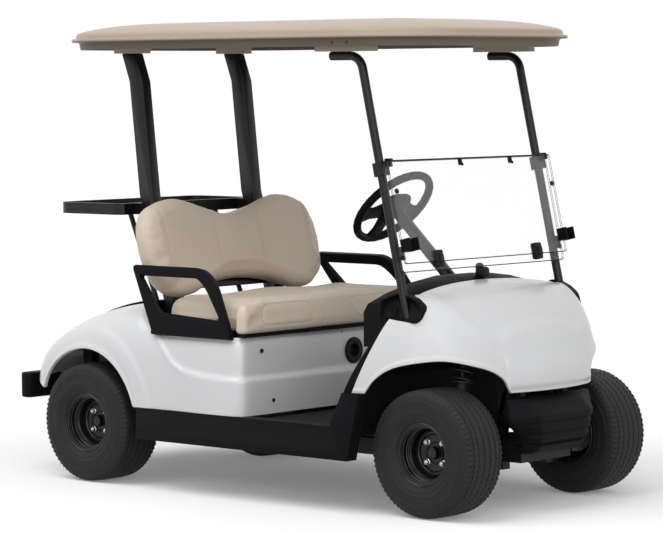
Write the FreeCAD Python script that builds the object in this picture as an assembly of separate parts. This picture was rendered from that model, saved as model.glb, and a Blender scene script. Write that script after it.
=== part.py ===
# Two-seat electric golf cart with a fixed sun top, a folding windshield and a bag deck.
# Frame: +X forward, +Y to the driver's left, +Z up; the ground is z = 0.
# The origin lies on the ground under the middle of the cart. Lengths are millimetres.
import FreeCAD, Part
import math
import os
from FreeCAD import Vector

os.makedirs("parts", exist_ok=True)

# Main layout
wheelbase = 1640.0
rear_axle_x = -695.0
front_axle_x = rear_axle_x + wheelbase
front_track = 850.0
rear_track = 960.0
body_half_width = 600.0
overrun = 3.0
sink = 1.0
seat_gap = 0.3
running_gap = 0.05
sew_tolerance = 0.001
parallel_share = 0.9
bend_share = 0.45
origin = Vector(0, 0, 0)
ahead_axis = Vector(1, 0, 0)
side_axis = Vector(0, 1, 0)
up_axis = Vector(0, 0, 1)


def ahead(distance):
    """Station along X, measured forward from the rear axle."""
    return rear_axle_x + distance


def block(x0, x1, y0, y1, z0, z1):
    return Part.makeBox(x1 - x0, y1 - y0, z1 - z0, Vector(x0, y0, z0))


def mirrored(shape):
    return shape.mirror(origin, side_axis)


def both(shape):
    return Part.makeCompound([shape, mirrored(shape)])


def rod(start, end, radius):
    reach = end.sub(start)
    return Part.makeCylinder(radius, reach.Length, start, reach)


def fused(shapes):
    whole = shapes[0].multiFuse(shapes[1:]) if len(shapes) > 1 else shapes[0]
    return whole.removeSplitter()


def largest(shape):
    return max(shape.Solids, key=lambda solid: solid.Volume)


def shifted(shape, x=0, y=0, z=0):
    moved = shape.copy()
    moved.translate(Vector(x, y, z))
    return moved


def polygon_face(points):
    return Part.Face(Part.makePolygon(points + points[:1]))


def side_plate(outline, y0, y1):
    """Outline of (x, z) points pushed along Y."""
    face = polygon_face([Vector(x, y0, z) for x, z in outline])
    return face.extrude(Vector(0, y1 - y0, 0))


def front_plate(outline, x0, x1):
    """Outline of (y, z) points pushed along X."""
    face = polygon_face([Vector(x0, y, z) for y, z in outline])
    return face.extrude(Vector(x1 - x0, 0, 0))


def plan_plate(outline, z0, z1):
    """Outline of (x, y) points pushed along Z."""
    face = polygon_face([Vector(x, y, z0) for x, y in outline])
    return face.extrude(Vector(0, 0, z1 - z0))


def bent_wire(points, bend):
    """Straight runs joined by tangent arcs, each of them limited by its runs."""
    edges = []
    start = points[0]
    for before, corner, after in zip(points[:-2], points[1:-1], points[2:]):
        back = before.sub(corner)
        onward = after.sub(corner)
        turn = math.pi - back.getAngle(onward)
        half = math.tan(turn / 2)
        setback = min(bend * half, min(back.Length, onward.Length) * bend_share)
        radius = setback / half
        back.normalize()
        onward.normalize()
        first = corner.add(back * setback)
        last = corner.add(onward * setback)
        middle_way = back.add(onward)
        middle_way.normalize()
        depth = radius / math.cos(turn / 2) - radius
        edges.append(Part.LineSegment(start, first).toShape())
        edges.append(Part.Arc(first, corner.add(middle_way * depth), last).toShape())
        start = last
    edges.append(Part.LineSegment(start, points[-1]).toShape())
    return Part.Wire(edges)


def swept(wire, section):
    pipe = wire.makePipeShell([section], True, False)
    return pipe


def bent_bar(points, bend, radius):
    """Round bar along a bent path."""
    wire = bent_wire(points, bend)
    along = points[1].sub(points[0])
    section = Part.Wire(Part.Circle(points[0], along, radius).toShape())
    return swept(wire, section)


def smooth_wire(points):
    """Closed smooth outline through the points."""
    curve = Part.BSplineCurve()
    curve.interpolate(points, PeriodicFlag=True)
    return Part.Wire(curve.toShape())


def turned(profile, centre_y):
    """Profile of (radius, y) points spun about an axle line along Y."""
    face = polygon_face([Vector(radius, centre_y + y, 0) for radius, y in profile])
    return face.revolve(Vector(0, centre_y, 0), side_axis, 360)


def rounded_along(shape, way, corner, above=0):
    """Shape with its straight edges along one axis rounded, where they lie above a height."""
    edges = [e for e in shape.Edges if abs(e.tangentAt(e.FirstParameter).dot(way)) > parallel_share]
    return shape.makeFillet(corner, [e for e in edges if e.BoundBox.ZMin > above])


def rounded_box(x0, x1, y0, y1, z0, z1, corner):
    """Box with its upright edges rounded."""
    return rounded_along(block(x0, x1, y0, y1, z0, z1), up_axis, corner)


# Wheels: a low tyre on a dished steel wheel with four nuts and a dust cap
tyre_radius = 229.0
tyre_width = 203.0
tread_half = 84.0
shoulder_drop = 12.0
sidewall_radius = 168.0
bead_radius = 102.0
bead_half = 82.0
bead_gap = 1.5
tyre_wall = 14.0
rim_lip_radius = 113.0
rim_lip_half = 90.0
rim_seat_radius = 101.7
rim_well_radius = 90.0
rim_wall = 4.0
disc_face = 8.0
disc_wall = 6.0
disc_ring_face = 20.0
disc_ring_radius = 74.0
lug_circle_radius = 50.8
lug_count = 4
nut_radius = 10.0
nut_height = 18.0
hub_radius = 30.0
hub_inner_face = -55.0
cap_radius = 22.0
cap_face = 35.0
drum_radius = 76.0
drum_outer_face = -8.0
drum_inner_face = -44.0
spindle_radius = 15.0
spindle_end = 20.0


def tyre_section():
    """Closed outline of the carcass as (radius, y), open towards the rim."""
    half = tyre_width / 2
    shoulder = tyre_radius - shoulder_drop
    inner_tread = tyre_radius - tyre_wall
    bead_inner = bead_half - tyre_wall
    outer = [(bead_radius, bead_half), (rim_lip_radius + bead_gap, bead_half),
             (rim_lip_radius + bead_gap, rim_lip_half), (rim_lip_radius + tyre_wall, half - overrun)]
    outer += [(sidewall_radius, half), (shoulder - shoulder_drop, half - overrun)]
    outer += [(shoulder, (half + tread_half) / 2), (tyre_radius - overrun, tread_half)]
    outer += [(tyre_radius, tread_half / 2)]
    inner = [(inner_tread, tread_half / 2), (inner_tread - shoulder_drop, tread_half)]
    inner += [(sidewall_radius, half - tyre_wall), (bead_radius + tyre_wall, bead_inner)]
    inner += [(bead_radius, bead_inner)]
    right = outer + [(r, -y) for r, y in reversed(outer)]
    return right + [(r, -y) for r, y in inner[::-1]] + inner


def tyre_solid():
    return turned(tyre_section(), 0)


def rim_solid(outward):
    """Wheel, drum and hub about the Y axis, with the outer face towards outward."""
    seat_edge = rim_lip_half - rim_wall
    well_half = rim_lip_half / 2
    barrel = [(rim_lip_radius, rim_lip_half), (rim_lip_radius, seat_edge)]
    barrel += [(rim_seat_radius, seat_edge - rim_wall), (rim_seat_radius, well_half + rim_wall)]
    barrel += [(rim_well_radius, well_half - rim_wall)]
    lower = [(r, -y) for r, y in reversed(barrel)]
    inside = [(r - rim_wall, y) for r, y in reversed(barrel[1:])]
    inside_lower = [(r, -y) for r, y in reversed(inside)]
    shell = turned(barrel + lower + inside_lower + inside, 0)
    web_radius = rim_well_radius - rim_wall / 2
    ring_out = disc_ring_radius + disc_wall
    ring_in = disc_ring_radius - disc_wall
    web = [(0, disc_face), (ring_in - disc_wall, disc_face), (ring_in, disc_ring_face)]
    web += [(ring_out, disc_ring_face), (web_radius, disc_face)]
    back = [(r, y - disc_wall) for r, y in reversed(web)]
    disc = turned(web + back, 0)
    hub = [(0, hub_inner_face), (hub_radius, hub_inner_face), (hub_radius, drum_inner_face)]
    hub += [(drum_radius, drum_inner_face), (drum_radius, drum_outer_face)]
    hub += [(hub_radius, drum_outer_face), (hub_radius, disc_face), (cap_radius, disc_face)]
    hub += [(cap_radius, cap_face - disc_wall), (cap_radius - disc_wall, cap_face), (0, cap_face)]
    pieces = [shell, disc, turned(hub, 0)]
    for index in range(lug_count):
        angle = 2 * math.pi * (index + 0.5) / lug_count
        foot = Vector(lug_circle_radius * math.cos(angle), 0, lug_circle_radius * math.sin(angle))
        pieces.append(rod(foot, foot.add(side_axis * (disc_face + nut_height)), nut_radius))
    wheel = fused(pieces)
    bore = Part.makeCylinder(spindle_radius + running_gap, spindle_end - hub_inner_face,
                             Vector(0, hub_inner_face, 0), side_axis)
    wheel = wheel.cut(bore)
    return wheel if outward > 0 else mirrored(wheel)


def at_wheel(shape, x, y):
    placed = shape.copy()
    placed.translate(Vector(x, y, tyre_radius))
    return placed


# Front suspension and steering: strut on a lower arm, rack behind the axle
steer_axis_lean = 9.0
ball_joint_inset = 92.0
ball_joint_y = front_track / 2 - ball_joint_inset
ball_joint_z = 175.0
upright_radius = 20.0
upright_top = 300.0
strut_radius = 21.0
strut_top = 470.0
spring_seat_radius = 44.0
spring_seat_wall = 4.0
tower_mount_z = 625.0
piston_radius = 10.0
coil_radius = 37.0
coil_wire_radius = 5.5
coil_turns = 5.0
arm_thickness = 14.0
arm_end_radius = 19.0
arm_pin_radius = 9.0
arm_pivot_y = 165.0
arm_front_reach = 75.0
arm_rear_reach = 90.0
steer_arm_length = 110.0
steer_arm_splay = 38.0
steer_arm_end_y = ball_joint_y - steer_arm_splay
steer_arm_z = 250.0
steer_arm_thickness = 14.0
steer_arm_width = 24.0
tie_boss_rise = 4.0
tie_pin_radius = 6.0
tie_eye_radius = 13.0
tie_eye_height = 14.0
tie_rod_radius = 7.0
tie_inner_y = 188.0
rack_radius = 11.0
rack_half_length = 172.0
rack_housing_radius = 20.0
rack_housing_half = 100.0
steer_axis_tan = math.tan(math.radians(steer_axis_lean))
steer_axis_way = Vector(0, -math.sin(math.radians(steer_axis_lean)),
                        math.cos(math.radians(steer_axis_lean)))


def steer_axis_point(z):
    """Point of the left steering axis at a height."""
    return Vector(front_axle_x, ball_joint_y - (z - ball_joint_z) * steer_axis_tan, z)


def along_steer_axis(z0, z1, radius):
    return rod(steer_axis_point(z0), steer_axis_point(z1), radius)


def along_tie_axis(z0, z1, radius):
    """Rod through the tie rod's eye, parallel to the left steering axis."""
    x = front_axle_x - steer_arm_length
    base = steer_arm_z + steer_arm_thickness
    return rod(Vector(x, steer_arm_end_y - (z0 - base) * steer_axis_tan, z0),
               Vector(x, steer_arm_end_y - (z1 - base) * steer_axis_tan, z1), radius)


def knuckle_left():
    wheel_y = front_track / 2
    boss_low = ball_joint_z - upright_radius / 2
    upright = along_steer_axis(boss_low, upright_top, upright_radius)
    strut = along_steer_axis(upright_top, strut_top, strut_radius)
    cup = along_steer_axis(strut_top - spring_seat_wall, strut_top, spring_seat_radius)
    root = steer_axis_point(tyre_radius)
    spindle = rod(Vector(front_axle_x, root.y, tyre_radius),
                  Vector(front_axle_x, wheel_y + spindle_end - overrun, tyre_radius),
                  spindle_radius)
    collar = rod(Vector(front_axle_x, root.y, tyre_radius),
                 Vector(front_axle_x, wheel_y + hub_inner_face - seat_gap, tyre_radius),
                 hub_radius - overrun)
    arm_z1 = steer_arm_z + steer_arm_thickness
    end_x = front_axle_x - steer_arm_length
    half = steer_arm_width / 2
    arm = plan_plate([(front_axle_x, root.y - upright_radius / 2),
                      (front_axle_x, root.y + upright_radius / 2),
                      (end_x, steer_arm_end_y + half), (end_x, steer_arm_end_y - half)],
                     steer_arm_z - tie_boss_rise, arm_z1 - tie_boss_rise)
    eye = along_tie_axis(steer_arm_z - tie_boss_rise, arm_z1, half)
    pin = along_tie_axis(arm_z1 - tie_boss_rise, arm_z1 + tie_eye_height + overrun, tie_pin_radius)
    body = fused([upright, strut, cup, spindle, collar, arm, eye, pin])
    piston_bore = along_steer_axis(upright_top, strut_top + overrun, piston_radius + running_gap)
    pin_bore = along_steer_axis(boss_low - overrun, ball_joint_z + upright_radius,
                                arm_pin_radius + running_gap)
    return body.cut(piston_bore).cut(pin_bore)


def tie_rod_left():
    end_x = front_axle_x - steer_arm_length
    low = steer_arm_z + steer_arm_thickness + seat_gap
    high = low + tie_eye_height - seat_gap
    middle = (low + high) / 2
    eye = along_tie_axis(low, high, tie_eye_radius)
    bar = rod(Vector(end_x, tie_inner_y, middle), Vector(end_x, steer_arm_end_y, middle), tie_rod_radius)
    bore = along_tie_axis(low - overrun, high + overrun, tie_pin_radius + running_gap)
    return fused([eye, bar]).cut(bore)


def rack_line_z():
    return steer_arm_z + steer_arm_thickness + (seat_gap + tie_eye_height) / 2


def steering_rack():
    x = front_axle_x - steer_arm_length
    z = rack_line_z()
    return rod(Vector(x, -rack_half_length, z), Vector(x, rack_half_length, z), rack_radius)


def coil(z_low, z_high, foot, way, radius, wire_radius, turns):
    """Coil spring from foot along way; both ends lie inside its length."""
    length = z_high - z_low - 2 * wire_radius - 2 * seat_gap
    helix = Part.makeHelix(length / turns, length, radius)
    section = Part.Wire(Part.Circle(Vector(radius, 0, 0), side_axis, wire_radius).toShape())
    spring = Part.Wire(helix).makePipeShell([section], True, True)
    spring.translate(Vector(0, 0, wire_radius + seat_gap))
    spring.Placement = FreeCAD.Placement(foot, FreeCAD.Rotation(up_axis, way)).multiply(
        spring.Placement)
    return spring


def front_spring_left():
    low = steer_axis_point(strut_top)
    high = steer_axis_point(tower_mount_z)
    return coil(0, high.sub(low).Length, low, steer_axis_way, coil_radius, coil_wire_radius,
                coil_turns)


# Chassis: a ladder of box tubes with strut towers and arms
rail_height = 60.0
rail_width = 40.0
rail_z = 175.0
main_rail_y = 270.0
front_rail_y = 125.0
rail_rear = -438.0
rail_step = 1290.0
rail_front = 1798.0
cross_width = 50.0
cross_stations = [290.0, 400.0, 700.0, 860.0, 1290.0, 1420.0, 1748.0]
kick_ahead = 290.0
kick_z = 318.0
tower_thickness = 8.0
tower_half = 62.0
tower_y = 165.0
shelf_inset = 13.0
shelf_outer_y = ball_joint_y - shelf_inset
strut_seat_outer_y = 475.0
strut_seat_half_x = 28.0
pinion_y = 75.0
pinion_radius = 16.0
pinion_top_z = 312.0
outrigger_stations = [870.0, 1230.0]
outrigger_width = 40.0
outrigger_height = 30.0
deck_post_stations = [-300.0, -25.0, 60.0]
deck_post_width = 50.0
damper_shelf_y = 365.0
nose_post_ahead = 1760.0
nose_post_width = 30.0
nose_arm_z = 445.0


def nose_bracket(cowl):
    """Post from the left front rail that holds the cowl's nose from inside."""
    half = nose_post_width / 2
    x0 = ahead(nose_post_ahead)
    y0 = front_rail_y - half
    y1 = front_rail_y + half
    post = block(x0, x0 + nose_post_width, y0, y1, rail_z + rail_height, nose_arm_z)
    arm = block(x0, ahead(bumper_front_x), y0, y1, nose_arm_z, nose_arm_z + nose_post_width)
    bracket = fused([post, arm]).cut(cowl).cut(shifted(cowl, x=-seat_gap))
    return largest(bracket)


def chassis_frame():
    z1 = rail_z + rail_height
    half = rail_width / 2
    pieces = []
    for side in (-1, 1):
        rear_y = side * main_rail_y
        pieces.append(block(ahead(kick_ahead), ahead(rail_step), rear_y - half, rear_y + half, rail_z, z1))
        pieces.append(block(ahead(rail_rear), ahead(kick_ahead) + cross_width, rear_y - half, rear_y + half,
                            kick_z, kick_z + rail_height))
        pieces.append(block(ahead(kick_ahead), ahead(kick_ahead) + cross_width, rear_y - half, rear_y + half,
                            rail_z, kick_z + rail_height))
        front_y = side * front_rail_y
        pieces.append(block(ahead(rail_step), ahead(rail_front), front_y - half, front_y + half, rail_z, z1))
    pieces.append(block(ahead(rail_rear), ahead(rail_rear) + cross_width, -main_rail_y, main_rail_y,
                        kick_z, kick_z + rail_height))
    for station in cross_stations:
        reach = main_rail_y if station <= rail_step else front_rail_y
        pieces.append(block(ahead(station), ahead(station) + cross_width, -reach - half, reach + half,
                            rail_z, z1))
    floor_low = floor_z - floor_thickness - seat_gap
    for station in outrigger_stations:
        x0 = ahead(station)
        x1 = x0 + outrigger_width
        pieces.append(block(x0, x1, -floor_half, floor_half, floor_low - outrigger_height, floor_low))
        for side in (-1, 1):
            rail_y = side * main_rail_y
            pieces.append(block(x0, x1, rail_y - half, rail_y + half, z1 - overrun, floor_low))
    deck_low = deck_z - deck_wall - seat_gap
    for station in deck_post_stations:
        x0 = ahead(station)
        post = block(x0, x0 + deck_post_width, main_rail_y - half, main_rail_y + half,
                     kick_z + rail_height - overrun, deck_low)
        pieces += [post, mirrored(post)]
    shelf_x0 = ahead(deck_post_stations[1])
    shelf = block(shelf_x0, shelf_x0 + deck_post_width, main_rail_y, damper_shelf_y,
                  damper_top_z + seat_gap, deck_low)
    pieces += [shelf, mirrored(shelf)]
    return fused(pieces)


def front_suspension():
    """Strut towers, piston rods, lower arms and the rack's housing."""
    z1 = rail_z + rail_height
    x0 = front_axle_x - tower_half
    x1 = front_axle_x + tower_half
    wall = block(x0, x1, tower_y - tower_thickness, tower_y, z1 - rail_height, tower_mount_z)
    rail_link = block(x0, x1, front_rail_y + rail_width / 2, tower_y, rail_z, z1)
    shelf = block(x0, x1, tower_y - tower_thickness, shelf_outer_y, tower_mount_z,
                  tower_mount_z + tower_thickness)
    gusset_lines = [(tower_y, tower_mount_z), (tower_y, tower_mount_z - tower_half),
                    (tower_y + tower_half, tower_mount_z)]
    gusset = front_plate(gusset_lines, x0, x0 + tower_thickness)
    gusset_front = front_plate(gusset_lines, x1 - tower_thickness, x1)
    piston = along_steer_axis(upright_top + tower_thickness, tower_mount_z + overrun, piston_radius)
    arm_z1 = ball_joint_z - upright_radius / 2 - 2 * overrun
    arm_z0 = arm_z1 - arm_thickness
    foot = steer_axis_point(arm_z1)
    arm = plan_plate([(front_axle_x - arm_rear_reach, arm_pivot_y - rail_width),
                      (front_axle_x + arm_front_reach, arm_pivot_y - rail_width),
                      (front_axle_x + arm_end_radius, foot.y),
                      (front_axle_x - arm_end_radius, foot.y)], arm_z0, arm_z1)
    arm_end = rod(Vector(front_axle_x, foot.y, arm_z0), Vector(front_axle_x, foot.y, arm_z1),
                  arm_end_radius)
    hanger = block(front_axle_x - arm_rear_reach, front_axle_x + arm_front_reach,
                   front_rail_y - rail_width / 2, front_rail_y + rail_width / 2, arm_z0, rail_z)
    pin = along_steer_axis(arm_z0 + overrun, ball_joint_z + arm_pin_radius, arm_pin_radius)
    strut_foot_x = strut_x(tower_mount_z + tower_thickness)
    strut_seat = plan_plate([(x0, tower_y), (x0 + tower_half, tower_y),
                             (strut_foot_x + strut_seat_half_x, strut_seat_outer_y),
                             (strut_foot_x - strut_seat_half_x, strut_seat_outer_y)],
                            tower_mount_z, tower_mount_z + tower_thickness)
    half_set = fused([wall, rail_link, shelf, gusset, gusset_front, piston, arm, arm_end, hanger, pin,
                      strut_seat])
    x = front_axle_x - steer_arm_length
    z = rack_line_z()
    housing = rod(Vector(x, -rack_housing_half, z), Vector(x, rack_housing_half, z),
                  rack_housing_radius)
    seat = block(x - rack_housing_radius, x + rack_housing_radius, -rack_housing_half,
                 rack_housing_half, z1 - overrun, z)
    bore = rod(Vector(x, -rack_half_length, z), Vector(x, rack_half_length, z),
               rack_radius + running_gap)
    rails = chassis_frame()
    pinion = rod(Vector(x, pinion_y, z), Vector(x, pinion_y, pinion_top_z - seat_gap), pinion_radius)
    middle = fused([housing, seat, pinion]).cut(bore)
    left = half_set.cut(rails)
    bridge = block(x - rack_housing_radius, x + rack_housing_radius, -tower_y, tower_y,
                   rail_z + rail_height, rail_z + rail_height + overrun)
    whole = fused([left, mirrored(left), middle.cut(rails), bridge])
    return whole.cut(bore)


# Rear axle: transaxle housing, motor, swing links and coil-over dampers
axle_tube_radius = 32.0
axle_flange_y = 408.0
backing_radius = 78.0
backing_thickness = 4.0
gearbox_radius = 95.0
gearbox_half = 70.0
gearbox_y = 60.0
motor_radius = 85.0
motor_ahead = 185.0
motor_z = 300.0
motor_outer_y = -230.0
motor_inner_y = -10.0
link_height = 40.0
link_width = 24.0
link_y = 250.0
link_front = kick_ahead - seat_gap
damper_y = 331.0
damper_radius = 16.0
damper_top_z = 462.0
damper_coil_radius = 30.0
damper_cup_radius = 38.0
damper_cup_wall = 5.0


def rear_axle():
    z = tyre_radius
    x = rear_axle_x
    tube = rod(Vector(x, -axle_flange_y, z), Vector(x, axle_flange_y, z), axle_tube_radius)
    gearbox = rod(Vector(x, gearbox_y - gearbox_half, z), Vector(x, gearbox_y + gearbox_half, z),
                  gearbox_radius)
    drive = side_plate([(x, z - gearbox_radius), (x + motor_ahead, motor_z - gearbox_radius),
                        (x + motor_ahead, motor_z + gearbox_radius), (x, z + gearbox_radius)],
                       gearbox_y - gearbox_half, gearbox_y + gearbox_half)
    drive_end = rod(Vector(x + motor_ahead, gearbox_y - gearbox_half, motor_z),
                    Vector(x + motor_ahead, gearbox_y + gearbox_half, motor_z), gearbox_radius)
    pieces = [tube, gearbox, drive, drive_end]
    hub_face = rear_track / 2 + hub_inner_face
    for side in (-1, 1):
        spindle_tip = rear_track / 2 + spindle_end - overrun
        pieces.append(rod(Vector(x, 0, z), Vector(x, side * spindle_tip, z), spindle_radius))
        plate_y = hub_face - backing_thickness
        pieces.append(rod(Vector(x, side * (axle_flange_y - overrun), z),
                          Vector(x, side * plate_y, z), hub_radius - overrun))
        pieces.append(rod(Vector(x, side * plate_y, z), Vector(x, side * (hub_face - seat_gap), z),
                          backing_radius))
        cup_low = z + axle_tube_radius
        cup_high = cup_low + damper_cup_wall
        pieces.append(rod(Vector(x, side * damper_y, z), Vector(x, side * damper_y, cup_high),
                          damper_cup_radius))
        y0 = side * link_y - link_width / 2
        pieces.append(block(x, ahead(link_front), y0, y0 + link_width, z - link_height, z))
    return fused(pieces)


def motor():
    x = ahead(motor_ahead)
    return rod(Vector(x, motor_outer_y, motor_z), Vector(x, motor_inner_y, motor_z), motor_radius)


def rear_dampers():
    low = tyre_radius + axle_tube_radius + damper_cup_wall + seat_gap
    spring = coil(0, damper_top_z - low, Vector(rear_axle_x, damper_y, low), up_axis,
                  damper_coil_radius, coil_wire_radius, coil_turns)
    tube = rod(Vector(rear_axle_x, damper_y, low), Vector(rear_axle_x, damper_y, damper_top_z),
               damper_radius)
    return [tube, spring]


# Battery pack: one plain block under the cushion
battery_rear = 346.0
battery_front = 790.0
battery_half = 240.0
battery_z0 = rail_z + rail_height + seat_gap
battery_z1 = 530.0


def battery_pack():
    return block(ahead(battery_rear), ahead(battery_front), -battery_half, battery_half,
                 battery_z0, battery_z1)


# Floor, toe board and sills
floor_z = 300.0
floor_thickness = 12.0
floor_rear = 820.0
toe_front = 1290.0
toe_top_x = 1425.0
toe_top_z = 500.0
toe_head_x = 1442.0
toe_head_z = 592.0
toe_half = 515.0
sill_inner_y = 546.0
floor_half = sill_inner_y - seat_gap
sill_z0 = 192.0
sill_z1 = 312.0
sill_rear = 305.0
sill_front_low = 1368.0
sill_front_high = 1425.0
kick_top_z = 436.5
kick_rear_x = 1345.0
kick_foot_x = 1285.0
sill_wall = 5.0
sill_face_z0 = 222.0
sill_face_z1 = 302.0
sill_face_low = 1325.0
sill_face_depth = 2.5
sill_return = 40.0


def floor_pan():
    z0 = floor_z - floor_thickness
    slope = [(ahead(toe_front) - floor_thickness, z0), (ahead(toe_front), z0),
             (ahead(toe_top_x), toe_top_z - floor_thickness), (ahead(toe_head_x), toe_head_z),
             (ahead(toe_head_x) - floor_thickness, toe_head_z),
             (ahead(toe_top_x) - floor_thickness, toe_top_z), (ahead(toe_front), floor_z),
             (ahead(toe_front) - floor_thickness, floor_z)]
    toe = side_plate(slope, -toe_half, toe_half)
    flat = block(ahead(floor_rear), ahead(toe_front), -floor_half, floor_half, z0, floor_z)
    hole = rod(column_point(column_length - column_hole_reach),
               column_point(column_length + column_hole_reach), column_radius + dash_gap)
    return fused([flat, toe]).cut(hole)


def sill_left():
    outline = [(ahead(sill_rear), sill_z0), (ahead(sill_front_low), sill_z0),
               (ahead(sill_front_high), kick_top_z), (ahead(kick_rear_x), kick_top_z),
               (ahead(kick_foot_x), sill_z1), (ahead(sill_rear), sill_z1)]
    solid = side_plate(outline, sill_inner_y, body_half_width)
    inner = side_plate([(ahead(sill_rear) - overrun, sill_z0 - overrun),
                        (ahead(sill_front_low) - sill_return, sill_z0 - overrun),
                        (ahead(sill_front_high) - sill_return, kick_top_z - sill_wall),
                        (ahead(kick_rear_x) + sill_wall, kick_top_z - sill_wall),
                        (ahead(kick_foot_x), sill_z1 - sill_wall),
                        (ahead(sill_rear) - overrun, sill_z1 - sill_wall)],
                       sill_inner_y + sill_wall, body_half_width - sill_wall)
    face = side_plate([(ahead(sill_rear) - overrun, sill_face_z0), (ahead(sill_face_low), sill_face_z0),
                       (ahead(kick_foot_x), sill_face_z1), (ahead(sill_rear) - overrun, sill_face_z1)],
                      body_half_width - sill_face_depth, body_half_width + overrun)
    return solid.cut(inner).cut(face)


def cubic_line(poles):
    """Smooth edge with the same spread of knots as the patch along its stations."""
    degree = 3
    inner = len(poles) - degree - 1
    around = [degree + 1] + [1] * inner + [degree + 1]
    curve = Part.BSplineCurve()
    curve.buildFromPolesMultsKnots(poles, around, list(range(inner + 2)), False, degree)
    return curve.toShape()


def cubic_patch(stations):
    """Smooth face over cubic profiles; each station is four control points."""
    degree = 3
    inner = len(stations) - degree - 1
    knots = list(range(inner + 2))
    around = [degree + 1] + [1] * inner + [degree + 1]
    across = [degree + 1, degree + 1]
    surface = Part.BSplineSurface()
    surface.buildFromPolesMultsKnots([list(station) for station in stations], around, across, knots,
                                     [0, 1], False, False, degree, degree)
    return surface.toShape()


def inner_stations(stations, wall):
    """The same profiles moved inward: sideways at the foot and down at the top."""
    moved = []
    last = len(stations) - 1
    for index, (low, climb, roll, high) in enumerate(stations):
        run = stations[min(index + 1, last)][0].sub(stations[max(index - 1, 0)][0])
        inward = Vector(-run.y, run.x, 0)
        inward.normalize()
        if inward.dot(high.sub(low)) < 0:
            inward = inward * -1
        drop = Vector(0, 0, -wall)
        moved.append((low.add(inward * wall), climb.add(inward * wall).add(drop / 3),
                      roll.add(inward * (wall / 3)).add(drop), high.add(drop)))
    return moved


def skin_over(stations, wall):
    """Closed skin between the outer profiles and the same ones moved in by the wall."""
    inner = inner_stations(stations, wall)
    faces = [cubic_patch(stations), cubic_patch(inner)]
    for outer_line, inner_line in ((stations[0], inner[0]), (stations[-1], inner[-1])):
        outer_curve = Part.BezierCurve()
        outer_curve.setPoles(list(outer_line))
        inner_curve = Part.BezierCurve()
        inner_curve.setPoles(list(inner_line))
        faces.append(Part.makeRuledSurface(outer_curve.toShape(), inner_curve.toShape()))
    for row in (0, 3):
        outer_edge = cubic_line([station[row] for station in stations])
        inner_edge = cubic_line([station[row] for station in inner])
        faces.append(Part.makeRuledSurface(outer_edge, inner_edge))
    shape = Part.makeCompound(faces)
    shape.sewShape(sew_tolerance)
    skin = Part.Solid(shape.Shells[0])
    if skin.Volume < 0:
        skin.reverse()
    return skin


def stepped_skin(stations, set_back, wall, depth, region, step_way):
    """Skin that follows the set-back profiles inside the region, joined by a wall along the step."""
    plain = skin_over(stations, wall).cut(region)
    edge = region.translated(step_way).cut(region)
    step = skin_over(stations, wall + depth + sink).common(edge)
    inside = skin_over(set_back, wall).common(region.translated(step_way / 2))
    return plain.fuse(step).fuse(inside)


# Front cowl: one moulded skin from the nose round to both doorsills
cowl_wall = 4.0
flange_depth = 12.0
flange_wall = 4.0
cowl_low_z = 437.0
cowl_top_z = 822.0
# Plan of the lower edge from the nose back to the trim, as x and y
cowl_low_x = [1862.0, 1857.0, 1842.0, 1815.0, 1765.0, 1700.0, 1625.0, 1540.0, 1440.0, 1345.0]
cowl_low_y = [0.0, 90.0, 170.0, 255.0, 370.0, 450.0, 501.0, 537.0, 565.0, 583.0]
# Upper edge that meets the dash and the trim, as x, y and z
cowl_high_x = [1505.0, 1507.0, 1511.0, 1517.0, 1525.0, 1531.0, 1535.0, 1535.0, 1522.0, 1490.0]
cowl_high_y = [0.0, 80.0, 160.0, 240.0, 320.0, 380.0, 424.0, 455.0, 484.0, 505.0]
cowl_high_z = [822.0, 821.0, 818.0, 812.0, 803.0, 793.0, 780.0, 762.0, 735.0, 700.0]
# How far the profile climbs before it rolls over, and how flat it meets its upper edge
cowl_rise_share = [0.42, 0.42, 0.42, 0.42, 0.43, 0.44, 0.45, 0.46, 0.42, 0.36]
cowl_roll_share = [0.66, 0.66, 0.66, 0.66, 0.64, 0.60, 0.56, 0.50, 0.42, 0.34]
nose_tuck_share = 0.06
hood_fall_share = 0.12
# The hood's middle stands back from the fenders inside this plan line
hood_depth = 5.0
hood_edge = 8.0
hood_x = [1530.0, 1575.0, 1640.0, 1700.0, 1752.0]
hood_y = [300.0, 256.0, 214.0, 188.0, 168.0]
arch_profile_x = [1426.0, 1462.0, 1520.0, 1600.0, 1690.0, 1765.0, 1803.0, 1822.0]
arch_profile_z = [434.0, 485.0, 526.0, 548.0, 556.0, 530.0, 492.0, 434.0]


def cowl_stations():
    half = []
    for index in range(len(cowl_low_x)):
        low = Vector(ahead(cowl_low_x[index]), cowl_low_y[index], cowl_low_z)
        high = Vector(ahead(cowl_high_x[index]), cowl_high_y[index], cowl_high_z[index])
        rise = high.z - low.z
        climb = low.add(Vector((high.x - low.x) * nose_tuck_share, 0, rise * cowl_rise_share[index]))
        out = Vector(low.x - high.x, low.y - high.y, 0)
        roll = high.add(Vector(out.x * cowl_roll_share[index], out.y * cowl_roll_share[index],
                               -rise * (1 - cowl_roll_share[index]) * hood_fall_share))
        half.append((low, climb, roll, high))
    other = []
    for station in half[:0:-1]:
        other.append(tuple(Vector(p.x, -p.y, p.z) for p in station))
    return other + half


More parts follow.
